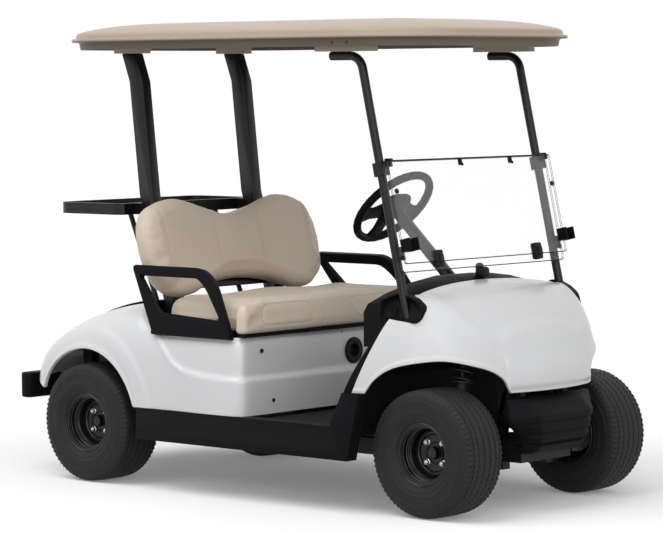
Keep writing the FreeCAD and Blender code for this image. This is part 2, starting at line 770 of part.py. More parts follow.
def arch_cutter():
    """Solid under the front wheel arch, cut through both sides of the cowl."""
    rim_line = [Vector(ahead(x), 0, z) for x, z in zip(arch_profile_x, arch_profile_z)]
    curve = Part.BSplineCurve()
    curve.interpolate(rim_line)
    low = cowl_low_z - tyre_radius
    first = Vector(rim_line[0].x, 0, low)
    last = Vector(rim_line[-1].x, 0, low)
    wire = Part.Wire([curve.toShape(), Part.makeLine(rim_line[-1], last), Part.makeLine(last, first),
                      Part.makeLine(first, rim_line[0])])
    nose_gap = cowl_low_y[2]
    wedge = Part.Face(wire).extrude(side_axis * body_half_width)
    wedge.translate(side_axis * nose_gap)
    return Part.makeCompound([wedge, mirrored(wedge)])


def hood_region():
    """Middle of the hood in plan: it narrows towards the nose."""
    half = [Vector(ahead(x), y, cowl_low_z) for x, y in zip(hood_x, hood_y)]
    side = Part.BSplineCurve()
    side.interpolate(half)
    first = half[0]
    last = half[-1]
    left = side.toShape()
    right = left.mirror(origin, side_axis)
    wire = Part.Wire([left, Part.makeLine(last, Vector(last.x, -last.y, last.z)), right,
                      Part.makeLine(Vector(first.x, -first.y, first.z), first)])
    return Part.Face(wire).extrude(up_axis * (2 * cowl_top_z - 2 * cowl_low_z))


def front_cowl():
    stations = cowl_stations()
    hood = inner_stations(stations, hood_depth)
    skin = stepped_skin(stations, hood, cowl_wall, hood_depth, hood_region(), Vector(hood_edge, 0, 0))
    arch = arch_cutter()
    band = shifted(arch, z=flange_wall).cut(arch)
    flange = skin_over(stations, cowl_wall + flange_depth).common(band)
    whole = skin.cut(arch).fuse(flange)
    return largest(whole.cut(strut_pocket_cutter()))


# Dash: hollow black moulding behind the cowl, with trim legs down to the sills
dash_half = 478.0
dash_front_x = 1500.0
dash_crest_x = 1450.0
dash_rear_x = 1345.0
dash_low_z = toe_head_z + seat_gap
dash_crown = 836.0
dash_side_z = 752.0
dash_wall = 5.0
# Heights at which the dash's profile turns, as shares of its depth ahead of and behind the crest
dash_front_share = 0.4
dash_rear_share = 0.35
dash_brow_share = 0.2
# Stations of that profile across the cart
dash_span_share = [-1.0, -0.8, -0.5, -0.2, 0.2, 0.5, 0.8, 1.0]
dash_gap = 1.0
pocket_y = 428.0
pocket_x = [1411.0, 1411.0, 1590.0, 1602.0, 1580.0, 1556.0, 1540.0]
pocket_z = [830.0, 678.0, 678.0, 712.0, 748.0, 775.0, 830.0]
trim_width = 46.0
trim_thickness = 12.0
trim_tongue = 40.0
glove_half = 150.0
glove_low_z = 665.0
glove_high_z = 760.0
glove_depth = 110.0
glove_y = 255.0
bezel_wall = 4.0


def strut_pocket_cutter():
    """Notch in the cowl's shoulder round the strut's foot."""
    outline = [(ahead(x), z) for x, z in zip(pocket_x, pocket_z)]
    return both(side_plate(outline, pocket_y, body_half_width))


def dash_profile(y, inset):
    """Closed side profile at one station across the cart."""
    share = (abs(y) / dash_half) ** 2
    top = dash_crown - (dash_crown - dash_side_z) * share - inset
    low = dash_low_z - (overrun if inset else 0)
    front = ahead(dash_front_x) - inset
    rear = ahead(dash_rear_x) + inset
    crest = ahead(dash_crest_x)
    depth_ahead = dash_front_x - dash_crest_x
    depth_behind = dash_crest_x - dash_rear_x
    points = [Vector(front, y, low), Vector(front, y, top - depth_ahead * dash_front_share),
              Vector(crest, y, top), Vector(rear + depth_behind * dash_brow_share, y, top - dash_wall),
              Vector(rear, y, top - depth_behind * dash_rear_share), Vector(rear + inset, y, low)]
    return Part.makePolygon(points + points[:1])


def dash():
    outer = Part.makeLoft([dash_profile(dash_half * s, 0) for s in dash_span_share], True, True)
    inner_half = dash_half - dash_wall
    inner = Part.makeLoft([dash_profile(inner_half * s, dash_wall) for s in dash_span_share], True, True)
    body = outer.cut(inner)
    rear_x = ahead(dash_rear_x)
    for side in (-1, 1):
        y0 = side * glove_y - glove_half / 2
        y1 = y0 + glove_half
        liner = block(rear_x, rear_x + glove_depth, y0 - bezel_wall, y1 + bezel_wall,
                      glove_low_z - bezel_wall, glove_high_z + bezel_wall)
        hollow = block(rear_x - dash_crest_x, rear_x + glove_depth - bezel_wall, y0, y1,
                       glove_low_z, glove_high_z)
        body = body.fuse(liner).cut(hollow)
    body = body.cut(column_hole())
    return fused([body] + cowl_trims().Solids)


def column_hole():
    top = column_point(column_length)
    return rod(column_point(0), top, column_radius + dash_gap)


def cowl_trims():
    """Dark strips that cap the cowl's rear edges, one on each side."""
    top_x = ahead(cowl_high_x[-1])
    low_x = ahead(cowl_low_x[-1])
    outline = [(low_x - trim_width, kick_top_z + seat_gap), (low_x - 2 * overrun, kick_top_z + seat_gap),
               (top_x - 2 * overrun, cowl_high_z[-1]), (top_x - trim_width, cowl_high_z[-1])]
    plate = side_plate(outline, 0, trim_thickness)
    tongue_z = cowl_high_z[-1] - trim_tongue
    share = (tongue_z - kick_top_z) / (cowl_high_z[-1] - kick_top_z)
    tongue_x = low_x + (top_x - low_x) * share
    tongue = side_plate([(tongue_x - trim_width, tongue_z), (tongue_x - 2 * overrun, tongue_z),
                         (top_x - 2 * overrun, cowl_high_z[-1]), (top_x - trim_width, cowl_high_z[-1])],
                        -trim_tongue, trim_thickness)
    plate = fused([plate, tongue])
    lean = math.atan((cowl_low_y[-1] - cowl_high_y[-1]) / (cowl_high_z[-1] - kick_top_z))
    plate.rotate(Vector(0, 0, kick_top_z), ahead_axis, math.degrees(lean))
    plate.translate(Vector(0, cowl_low_y[-1] - trim_thickness, 0))
    return both(plate)


# Front bumper: deep black moulding with a stepped face
bumper_front_x = 1888.0
bumper_wing_x = 1822.0
bumper_rear_x = rail_front + seat_gap
bumper_wall = 8.0
bumper_hollow_y = 100.0
bumper_top_z = 412.0
bumper_low_z = 210.0
bumper_wing_y = 232.0
bumper_nose_y = 148.0
bumper_low_wing_y = 150.0
bumper_low_nose_y = 120.0
# Steps of the face from the top down: a bevel, two grooves and a lip at the foot
bumper_level_z = [412.0, 394.0, 336.0, 331.0, 321.0, 316.0, 300.0, 295.0, 285.0, 280.0, 262.0,
                  248.0, 240.0, 214.0, 210.0]
bumper_level_step = [16.0, 0.0, 0.0, 6.0, 6.0, 0.0, 0.0, 6.0, 6.0, 0.0, 4.0, 14.0, 0.0, 0.0, 6.0]


def front_bumper():
    def ring(z, nose_x, nose_y, wing_y):
        points = [(ahead(bumper_rear_x), -wing_y), (ahead(bumper_wing_x), -wing_y),
                  (ahead(nose_x), -nose_y), (ahead(nose_x), nose_y),
                  (ahead(bumper_wing_x), wing_y), (ahead(bumper_rear_x), wing_y)]
        return Part.makePolygon([Vector(x, y, z) for x, y in points + points[:1]])
    rings = []
    for z, step in zip(bumper_level_z, bumper_level_step):
        share = (bumper_top_z - z) / (bumper_top_z - bumper_low_z)
        nose_y = bumper_nose_y + (bumper_low_nose_y - bumper_nose_y) * share
        wing_y = bumper_wing_y + (bumper_low_wing_y - bumper_wing_y) * share
        rings.append(ring(z, bumper_front_x - step, nose_y, wing_y))
    solid = Part.makeLoft(rings, True, True)
    hollow = block(ahead(bumper_rear_x) - overrun, ahead(bumper_front_x) - 2 * bumper_wall,
                   -bumper_hollow_y, bumper_hollow_y, bumper_low_z + bumper_wall,
                   bumper_top_z - bumper_wall)
    return solid.cut(hollow)


# Rear body: one white moulding from the seat pod round both rear wheels
body_wall = 4.0
body_inset = 2.0
body_side_y = body_half_width - body_inset
# Left side from the rear centre forward: plan of the lower edge, with y as shares of the side's
rear_low_x = [-425.0, -424.0, -405.0, -340.0, -230.0, -90.0, 80.0, 200.0, 280.0, 360.0,
              500.0, 620.0, 720.0, 780.0, 815.0, 835.0, 846.0, 848.0]
rear_low_y_share = [0.0, 0.3846, 0.6689, 0.8445, 0.9465, 0.99, 1.0, 1.0, 1.0,
                    1.0, 1.0, 1.0, 1.0, 0.9983, 0.99, 0.9699, 0.9365, 0.8863]
rear_low_z = [390.0, 390.0, 385.0, 370.0, 340.0] + [sill_z1 + seat_gap] * 13
# Plan and height of the upper inner edge
rear_high_x = [-380.0, -380.0, -355.0, -285.0, -180.0, -60.0, 80.0, 190.0, 240.0, 345.0,
               480.0, 605.0, 705.0, 760.0, 790.0, 808.0, 818.0, 822.0]
rear_high_y_share = [0.0, 0.3679, 0.5769, 0.6438, 0.6438, 0.6321, 0.6271, 0.6271, 0.6689,
                     0.903, 0.9281, 0.9331, 0.9331, 0.9298, 0.9214, 0.908, 0.8863, 0.8495]
rear_high_z = [470.0, 474.0, 486.0, 520.0, 585.0, 645.0, 684.0, 699.0, 696.0, 600.0,
               599.0, 599.0, 599.0, 599.0, 599.0, 599.0, 599.0, 599.0]
rear_rise_share = [0.5, 0.5, 0.5, 0.52, 0.56, 0.6, 0.62, 0.63, 0.63, 0.64,
                   0.6, 0.6, 0.6, 0.6, 0.6, 0.6, 0.6, 0.6]
rear_roll_share = [0.7, 0.7, 0.72, 0.8, 0.85, 0.9, 0.92, 0.92, 0.92, 0.94,
                   0.96, 0.96, 0.96, 0.96, 0.96, 0.96, 0.96, 0.96]
rear_arch_radius = 290.0
rear_arch_ahead = 10.0
# The pod's side above this line stands back from the fender and the lower band
ledge_depth = 12.0
ledge_wall = 5.0
ledge_x = [366.0, 387.0, 413.0, 481.0, 543.0, 660.0, 774.0, 900.0]
ledge_z = [680.0, 606.0, 554.0, 487.0, 457.0, 443.0, 438.0, 436.0]


def ledge_region():
    """Everything above the ledge's line and in front of it, across the whole cart."""
    line = [Vector(ahead(x), -body_half_width, z) for x, z in zip(ledge_x, ledge_z)]
    curve = Part.BSplineCurve()
    curve.interpolate(line)
    corner = Vector(line[-1].x, line[-1].y, line[0].z)
    wire = Part.Wire([curve.toShape(), Part.makeLine(line[-1], corner), Part.makeLine(corner, line[0])])
    return Part.Face(wire).extrude(side_axis * (2 * body_half_width))


def rear_stations():
    stations = []
    for index in range(len(rear_low_x)):
        low = Vector(ahead(rear_low_x[index]), body_side_y * rear_low_y_share[index], rear_low_z[index])
        high = Vector(ahead(rear_high_x[index]), body_side_y * rear_high_y_share[index],
                      rear_high_z[index])
        rise = high.z - low.z
        climb = low.add(up_axis * (rise * rear_rise_share[index]))
        roll = high.add(Vector((low.x - high.x) * rear_roll_share[index],
                               (low.y - high.y) * rear_roll_share[index], 0))
        stations.append((low, climb, roll, high))
    other = []
    for station in stations[:0:-1]:
        other.append(tuple(Vector(p.x, -p.y, p.z) for p in station))
    return other + stations


def drawn_in(stations, depth):
    """The same profiles moved sideways only, so that their upper edge keeps its place."""
    moved = []
    for (low, climb, roll, high), inner in zip(stations, inner_stations(stations, depth)):
        inward = inner[0].sub(low)
        moved.append((inner[0], climb.add(inward), roll.add(inward), high))
    return moved


def rear_arch(radius):
    x = ahead(rear_arch_ahead)
    arch = rod(Vector(x, sill_inner_y - tyre_width, tyre_radius),
               Vector(x, body_half_width + overrun, tyre_radius), radius)
    return both(arch)


def rear_body():
    stations = rear_stations()
    shift = Vector(-ledge_wall, 0, -ledge_wall)
    side = drawn_in(stations, ledge_depth)
    skin = stepped_skin(stations, side, body_wall, ledge_depth, ledge_region(), shift)
    arch = rear_arch(rear_arch_radius)
    band = rear_arch(rear_arch_radius + flange_wall).cut(arch)
    flange = skin_over(stations, body_wall + flange_depth).common(band)
    return skin.cut(arch).fuse(flange)


# Seat pod front panel and the charge socket in it
pod_panel_margin = 71.0
pod_panel_half = body_half_width - pod_panel_margin
pod_panel_z0 = floor_z + seat_gap
pod_panel_z1 = 600.0
pod_panel_rear = 824.0
pod_panel_front = 844.0
pod_panel_step = 10.0
socket_y = 50.0
socket_z = 513.0
socket_radius = 34.0
socket_bore_radius = 24.0
socket_proud = 6.0
socket_depth = 40.0


def pod_panel(body):
    """Front of the pod, stepped back above the ledge and fitted between the body's front edges."""
    front = ahead(pod_panel_front)
    panel = block(ahead(pod_panel_rear), front, -pod_panel_half, pod_panel_half,
                  pod_panel_z0, pod_panel_z1)
    panel = panel.cut(block(front - pod_panel_step, front + overrun, -body_half_width, body_half_width,
                            ledge_z[-1], pod_panel_z1 + overrun))
    for shift in (-seat_gap, 0, seat_gap):
        panel = panel.cut(shifted(body, y=shift))
    panel = largest(panel.cut(shifted(body, z=-seat_gap)))
    hole = rod(Vector(ahead(pod_panel_rear) - overrun, socket_y, socket_z),
               Vector(ahead(pod_panel_front) + overrun, socket_y, socket_z),
               socket_radius - socket_proud + seat_gap)
    return panel.cut(hole)


def charge_socket():
    face = ahead(pod_panel_front) - pod_panel_step
    ring = rod(Vector(face, socket_y, socket_z), Vector(face + socket_proud, socket_y, socket_z),
               socket_radius)
    barrel = rod(Vector(face - socket_depth, socket_y, socket_z), Vector(face, socket_y, socket_z),
                 socket_radius - socket_proud)
    bore = rod(Vector(face - socket_depth + socket_proud, socket_y, socket_z),
               Vector(face + socket_proud + overrun, socket_y, socket_z), socket_bore_radius)
    return fused([ring, barrel]).cut(bore)


# Seat: cushion on a pan that tips forward about its front edge, and a fixed back
cushion_rear = 358.0
cushion_step = 792.0
cushion_front = 852.0
cushion_half = 494.0
cushion_front_half = 575.0
cushion_z0 = 612.0
cushion_z1 = 738.0
cushion_round = 22.0
pan_thickness = 12.0
pan_barrel_radius = 5.5
pan_barrel_half = 220.0
back_lean = 17.0
back_low_z = 725.0
back_front_x = 350.0
back_thickness = 100.0


def cushion_plan(inset):
    rear = ahead(cushion_rear) + inset
    step = ahead(cushion_step) + inset
    front = ahead(cushion_front) - inset
    side = cushion_half - inset
    wide = cushion_front_half - inset
    return [(rear, -side), (step, -side), (step, -wide), (front, -wide), (front, wide),
            (step, wide), (step, side), (rear, side)]


def seat_cushion():
    body = plan_plate(cushion_plan(0), cushion_z0 + seat_gap, cushion_z1)
    tops = [e for e in body.Edges if e.BoundBox.ZMin > cushion_z1 - overrun]
    return body.makeChamfer(cushion_round, tops)


def seat_pan():
    z0 = cushion_z0 - pan_thickness + seat_gap
    tray = plan_plate(cushion_plan(pan_thickness), z0, cushion_z0)
    x = ahead(cushion_front) - pan_thickness
    z = cushion_z0 - pan_thickness / 2
    barrel = rod(Vector(x, -pan_barrel_half, z), Vector(x, pan_barrel_half, z), pan_barrel_radius)
    return fused([tray, barrel])


back_outline_y = [0.0, 130.0, 275.0, 395.0, 468.0, 492.0, 470.0, 395.0, 290.0, 150.0]
back_outline_z = [1042.0, 1070.0, 1106.0, 1090.0, 1035.0, 930.0, 800.0, 735.0, 728.0, 770.0]
back_centre_low_z = 786.0


def seat_back():
    right = list(zip(back_outline_y, back_outline_z))
    left = [(-y, z) for y, z in reversed(right[1:])]
    outline = right + [(0.0, back_centre_low_z)] + left
    front = ahead(back_front_x)
    stretch = 1 / math.cos(math.radians(back_lean))
    wire = smooth_wire([Vector(front, y, back_low_z + (z - back_low_z) * stretch) for y, z in outline])
    body = Part.Face(wire).extrude(Vector(-back_thickness, 0, 0))
    body.rotate(Vector(front, 0, back_low_z), side_axis, -back_lean)
    return body


# Struts of the sun top and what hangs on them
rear_strut_y = 288.0
rear_strut_width = 44.0
rear_strut_depth = 74.0
rear_strut_points_x = [240.0, 240.0, 208.0, 83.0, 33.0]
rear_strut_points_z = [kick_z + rail_height + seat_gap, 600.0, 702.0, 1100.0, 1541.0]
rear_strut_top_z = 1650.0
rear_strut_lean_top = -8.0
front_strut_y = 455.0
front_strut_radius = 16.0
front_strut_foot_x = 1533.0
front_strut_foot_z = 690.0
front_strut_low_z = 637.0
front_strut_head_x = 1317.0
front_strut_head_z = 1630.0
strut_bend = 60.0
strut_tail_x = 1180.0
bracket_low_z = front_strut_head_z + front_strut_radius + seat_gap
back_strap_z = [770.0, 1020.0]
back_strap_height = 40.0
back_strap_wall = 16.0


def rear_struts():
    """Box struts from the pod up behind the seat back to the roof."""
    half = rear_strut_depth / 2
    outline = [(ahead(x) + half, z) for x, z in zip(rear_strut_points_x, rear_strut_points_z)]
    outline.append((ahead(rear_strut_lean_top) + half, rear_strut_top_z))
    back = [(ahead(x) - half, z) for x, z in zip(rear_strut_points_x, rear_strut_points_z)]
    back.append((ahead(rear_strut_lean_top) - half, rear_strut_top_z))
    outer_y = rear_strut_y + rear_strut_width / 2
    left = side_plate(outline + back[::-1], rear_strut_y - rear_strut_width / 2, outer_y)
    pieces = [left, mirrored(left)]
    strap_x = ahead(back_front_x) - back_thickness - seat_gap
    for z in back_strap_z:
        strap = block(strap_x - back_strap_wall, strap_x, -outer_y, outer_y, z, z + back_strap_height)
        strap.rotate(Vector(ahead(back_front_x), 0, back_low_z), side_axis, -back_lean)
        pieces.append(strap)
    return fused(pieces)


def front_struts():
    path = [Vector(strut_x(front_strut_low_z), front_strut_y, front_strut_low_z),
            Vector(ahead(front_strut_head_x), front_strut_y, front_strut_head_z),
            Vector(ahead(strut_tail_x), front_strut_y, front_strut_head_z)]
    left = bent_bar(path, strut_bend, front_strut_radius)
    return both(fused([left] + pane_holders()))


def pane_holders():
    """Clamps on the left strut that hold the lower pane, with the fixed half of the fold hinge."""
    centre = ahead(front_strut_foot_x)
    face = centre + pane_offset - seat_gap
    front = centre + pane_offset + pane_thickness + seat_gap
    half = latch_width / 2
    top = lower_pane_z1 + hinge_bridge_wall + seat_gap
    clamp = block(centre - front_strut_radius - overrun, face, front_strut_y - half,
                  front_strut_y + half, lower_pane_z1 - latch_length, top)
    foot_clip = block(centre, face, front_strut_y - half, front_strut_y + half,
                      lower_pane_z0 + latch_length, lower_pane_z0 + 2 * latch_length)
    y0 = hinge_barrel_y - hinge_leaf_width
    bridge = block(centre, hinge_local_x(), y0, hinge_barrel_y, lower_pane_z1 + seat_gap, top)
    leaf = block(front, hinge_local_x(), y0, hinge_barrel_y, lower_pane_z1 - hinge_leaf_height, top)
    barrel = rod(Vector(hinge_local_x(), y0, hinge_local_z()),
                 Vector(hinge_local_x(), hinge_barrel_y, hinge_local_z()), hinge_barrel_radius)
    return [leaned(piece) for piece in (clamp, foot_clip, bridge, leaf, barrel)]


# Sun top
roof_rear = -262.0
roof_front = 1640.0
roof_half = 560.0
roof_corner = 330.0
roof_corner_share = 0.3
roof_lip_z = 1693.0
roof_lip_top_z = 1706.0
roof_top_z = 1770.0
roof_wall = 5.0
skirt_low_z = 1664.0
skirt_inset = 34.0
riser_inset = 16.0
riser_top_z = 1722.0
dome_inset = [24.0, 70.0, 160.0, 290.0, 420.0]
dome_z = [1729.0, 1742.0, 1755.0, 1765.0, 1770.0]


def roof_outline(inset, z):
    """Rounded rectangle, with all its corners alike."""
    x0 = ahead(roof_rear) + inset
    x1 = ahead(roof_front) - inset
    half = roof_half - inset
    corner = max(roof_corner - inset, half * roof_corner_share)
    bow = corner * (1 - math.sqrt(0.5))
    spots = [(x0 + corner, -half), (x1 - corner, -half), (x1 - bow, -half + bow), (x1, -half + corner),
             (x1, half - corner), (x1 - bow, half - bow), (x1 - corner, half), (x0 + corner, half),
             (x0 + bow, half - bow), (x0, half - corner), (x0, -half + corner), (x0 + bow, -half + bow)]
    p = [Vector(x, y, z) for x, y in spots]
    edges = [Part.makeLine(p[0], p[1]), Part.Arc(p[1], p[2], p[3]).toShape(), Part.makeLine(p[3], p[4]),
             Part.Arc(p[4], p[5], p[6]).toShape(), Part.makeLine(p[6], p[7]),
             Part.Arc(p[7], p[8], p[9]).toShape(), Part.makeLine(p[9], p[10]),
             Part.Arc(p[10], p[11], p[0]).toShape()]
    return Part.Wire(edges)


def roof_plate(inset, z0, z1):
    return Part.Face(roof_outline(inset, z0)).extrude(Vector(0, 0, z1 - z0))


def roof():
    lip = roof_plate(0, roof_lip_z, roof_lip_top_z)
    riser = roof_plate(riser_inset, roof_lip_z, riser_top_z)
    layers = [(riser_inset, riser_top_z)] + list(zip(dome_inset, dome_z))
    dome = Part.makeLoft([roof_outline(i, z) for i, z in layers], True, True)
    skirt = roof_plate(skirt_inset, skirt_low_z, roof_lip_z + overrun)
    outer = fused([lip, riser, dome, skirt])
    hollow = roof_plate(skirt_inset + roof_wall, skirt_low_z - overrun, riser_top_z - roof_wall)
    inner_layers = [(i + roof_wall, z - roof_wall) for i, z in layers[1:]]
    inner_layers = [(skirt_inset + roof_wall, riser_top_z - roof_wall)] + inner_layers[1:]
    crown = Part.makeLoft([roof_outline(i, z) for i, z in inner_layers], True, True)
    return outer.cut(hollow.fuse(crown))


def under_roof(shape, top):
    """What is left of a bracket below the roof's inner face."""
    return largest(shape.cut(shifted(top, z=-seat_gap)))


def roof_brackets(top):
    """Channels that hold the four strut heads to the roof's underside."""
    pieces = []
    low = bracket_low_z
    front_x0 = ahead(strut_tail_x) - front_strut_radius * 4
    front_x1 = ahead(front_strut_head_x) + front_strut_radius * 4
    half = front_strut_radius + overrun * 2
    front = block(front_x0, front_x1, front_strut_y - half, front_strut_y + half, low, roof_top_z)
    rear_x0 = ahead(rear_strut_lean_top) - rear_strut_depth
    rear_x1 = ahead(rear_strut_lean_top) + rear_strut_depth
    rear_half = rear_strut_width / 2 + overrun * 2
    rear = block(rear_x0, rear_x1, rear_strut_y - rear_half, rear_strut_y + rear_half,
                 rear_strut_top_z + seat_gap, roof_top_z)
    for piece in (front, rear):
        held = under_roof(piece, top)
        pieces += [held, mirrored(held)]
    return Part.makeCompound(pieces)


# Bag rack, bag deck and rear bumper
rack_z0 = 1024.0
rack_z1 = 1068.0
rack_half = 392.0
rack_rear = -336.0
rack_wall = 20.0
rack_corner = 60.0
rack_front = 40.0
deck_z = 480.0
deck_rear = -370.0
deck_corner_x = [-342.0, -258.0]
deck_corner_y = [215.0, 315.0]
deck_front = 130.0
deck_half = 362.0
deck_wall = 6.0
deck_top_z = 640.0
deck_slope = -120.0
deck_lip_z = 486.0
rear_bumper_half = 455.0
rear_bumper_x = -500.0
rear_bumper_inner_x = rail_rear - seat_gap
brace_y = 240.0
brace_radius = 10.0
brace_top_x = -80.0
brace_low_x = 122.0
brace_low_z = 556.0
brace_plate_wall = 16.0
rear_bumper_z0 = 285.0
rear_bumper_z1 = 385.0
rear_bumper_corner = 50.0


def bag_rack(struts):
    """Hoop that the tops of the bags lean in, held between the rear struts."""
    outer = rounded_box(ahead(rack_rear), ahead(rack_front), -rack_half, rack_half, rack_z0, rack_z1,
                        rack_corner)
    inner = rounded_box(ahead(rack_rear) + rack_wall, ahead(rack_front) + rack_corner,
                        -rack_half + rack_wall, rack_half - rack_wall, rack_z0 - overrun,
                        rack_z1 + overrun, rack_corner - rack_wall)
    bar = block(ahead(rack_front) - rack_wall * 2, ahead(rack_front) - rack_wall, -rack_half + rack_wall,
                rack_half - rack_wall, rack_z0, rack_z1)
    hoop = outer.cut(inner)
    ear = block(ahead(rack_front) - rack_wall * 2, ahead(rear_strut_points_x[3]),
                rear_strut_y - rack_wall, rear_strut_y + rack_wall, rack_z0, rack_z1)
    ear = ear.cut(struts).cut(shifted(struts, x=-seat_gap))
    plate = block(ahead(brace_top_x) - rack_wall, ahead(rack_front) - rack_wall, brace_y - brace_radius,
                  brace_y + brace_radius, rack_z0, rack_z0 + brace_plate_wall)
    brace = rod(Vector(ahead(brace_top_x), brace_y, rack_z0 + brace_plate_wall / 2),
                Vector(ahead(brace_low_x), brace_y, brace_low_z), brace_radius)
    wall_x = ahead(deck_front) - deck_wall - seat_gap
    brace = brace.cut(block(wall_x, wall_x + rack_half, -rack_half, rack_half, deck_z, rack_z1))
    return fused([hoop, bar, ear, mirrored(ear), plate, mirrored(plate), brace, mirrored(brace)])


def bag_deck():
    """Open tray behind the seat where the bags stand."""
    x0 = ahead(deck_rear)
    x1 = ahead(deck_front)
    outline = [(x0, deck_z - deck_wall), (x1, deck_z - deck_wall), (x1, deck_top_z),
               (ahead(deck_slope), deck_top_z), (x0, deck_lip_z)]
    def floor_plan(inset, reach):
        side = [(x0 - reach, deck_corner_y[0] - inset), (ahead(deck_corner_x[0]), deck_corner_y[1] - inset),
                (ahead(deck_corner_x[1]), deck_half - inset), (x1 - inset, deck_half - inset)]
        return side + [(x, -y) for x, y in reversed(side)]
    outer = side_plate(outline, -deck_half, deck_half)
    outer = outer.common(plan_plate(floor_plan(0, 0), deck_z - deck_wall, deck_top_z))
    inner = plan_plate(floor_plan(deck_wall, overrun), deck_z, deck_top_z + overrun)
    return outer.cut(inner)


def rear_bumper():
    bar = rounded_box(ahead(rear_bumper_x), ahead(rear_bumper_inner_x), -rear_bumper_half,
                      rear_bumper_half, rear_bumper_z0, rear_bumper_z1, rear_bumper_corner / 2)
    return bar


# Hip restraints beside the cushion
restraint_foot_y = 568.0
restraint_root = 26.0
restraint_lean = 12.0
restraint_thickness = 30.0
restraint_corner = 26.0
restraint_inner_corner = 16.0
restraint_edge = 9.0
restraint_outer_x = [222.0, 600.0, 665.0, 780.0, 374.0]
restraint_outer_z = [850.0, 850.0, 800.0, 606.0, 606.0]
restraint_inner_x = [268.0, 575.0, 625.0, 725.0, 405.0]
restraint_inner_z = [812.0, 812.0, 775.0, 650.0, 650.0]


def hip_restraints(body):
    outline = [(ahead(x), z) for x, z in zip(restraint_outer_x, restraint_outer_z)]
    root_z = restraint_outer_z[-1] - restraint_root
    outline += [(outline[-1][0], root_z), (outline[-2][0], root_z)]
    outline = outline[:4] + [outline[6], outline[5], outline[4]]
    hole = [(ahead(x), z) for x, z in zip(restraint_inner_x, restraint_inner_z)]
    half = restraint_thickness / 2
    foot_z = restraint_outer_z[-1]
    plate = rounded_along(side_plate(outline, -half, half), side_axis, restraint_corner, foot_z + sink)
    window = side_plate(hole, -half - overrun, half + overrun)
    loop = plate.cut(rounded_along(window, side_axis, restraint_inner_corner))
    rims = [e for e in loop.Edges if e.BoundBox.YLength < sink]
    loop = loop.makeFillet(restraint_edge, rims)
    loop.rotate(Vector(0, 0, foot_z), ahead_axis, restraint_lean)
    loop.translate(Vector(0, restraint_foot_y, 0))
    return both(largest(loop.cut(shifted(body, z=seat_gap)).cut(body)))


# Windshield: fixed lower pane, upper pane folded down in front of it
pane_thickness = 6.0
pane_half = 470.0
pane_corner = 12.0
pane_offset = 24.0
lower_pane_z0 = 862.0
lower_pane_z1 = 1262.0
fold_gap = 14.0
upper_pane_length = 372.0
upper_pane_clear = 8.0
strut_lean = math.atan((front_strut_foot_x - front_strut_head_x)
                       / (front_strut_head_z - front_strut_foot_z))
latch_length = 46.0
latch_reach = 44.0
latch_width = 40.0
latch_wall = 6.0
latch_play = 3.0
latch_from_hinge = 290.0
hinge_barrel_radius = 6.0
hinge_barrel_y = 447.0
hinge_leaf_width = 17.0
hinge_leaf_height = 20.0
hinge_bridge_wall = 2.7


def strut_x(z):
    """X of the front strut's centre line at a height."""
    share = (z - front_strut_foot_z) / (front_strut_head_z - front_strut_foot_z)
    return ahead(front_strut_foot_x) + (front_strut_head_x - front_strut_foot_x) * share


def leaned(shape):
    """Turns an upright piece to the struts' lean about the foot line."""
    moved = shape.copy()
    foot = Vector(ahead(front_strut_foot_x), 0, front_strut_foot_z)
    moved.rotate(foot, side_axis, -math.degrees(strut_lean))
    return moved


def pane_box(offset, z0, z1, half):
    """Clear sheet with rounded corners."""
    x = ahead(front_strut_foot_x) + offset
    return rounded_along(block(x, x + pane_thickness, -half, half, z0, z1), ahead_axis, pane_corner)


def windshield_lower():
    return leaned(pane_box(pane_offset, lower_pane_z0, lower_pane_z1, pane_half))


def hinge_local_z():
    return lower_pane_z1 + upper_pane_clear / 2


def windshield_upper():
    z1 = hinge_local_z() - upper_pane_clear / 2
    return leaned(pane_box(pane_offset + pane_thickness + fold_gap, z1 - upper_pane_length, z1,
                           pane_half))


def hinge_local_x():
    return ahead(front_strut_foot_x) + pane_offset + pane_thickness + fold_gap / 2


def windshield_latches():
    """Spring clips that take hold of the struts when the pane is up, and the moving hinge halves."""
    z1 = hinge_local_z() - latch_from_hinge
    x0 = ahead(front_strut_foot_x) + pane_offset + 2 * pane_thickness + fold_gap
    slot_half = front_strut_radius + latch_play
    jaw = slot_half + latch_wall
    clip = block(x0, x0 + latch_reach, front_strut_y - jaw, front_strut_y + jaw, z1 - latch_length, z1)
    strut_line = 2 * hinge_local_x() - ahead(front_strut_foot_x)
    slot = block(strut_line - slot_half, x0 + latch_reach + overrun, front_strut_y - slot_half,
                 front_strut_y + slot_half, z1 - latch_length - overrun, z1 + overrun)
    clip = clip.cut(slot)
    y0 = hinge_barrel_y + seat_gap
    y1 = y0 + hinge_leaf_width
    leaf = block(hinge_local_x(), x0 - pane_thickness, y0, y1, hinge_local_z() - hinge_leaf_height,
                 hinge_local_z())
    barrel = rod(Vector(hinge_local_x(), y0, hinge_local_z()), Vector(hinge_local_x(), y1, hinge_local_z()),
                 hinge_barrel_radius)
    hinge = leaned(fused([leaf, barrel]))
    clip = leaned(clip)
    return Part.makeCompound([clip, mirrored(clip), hinge, mirrored(hinge)])


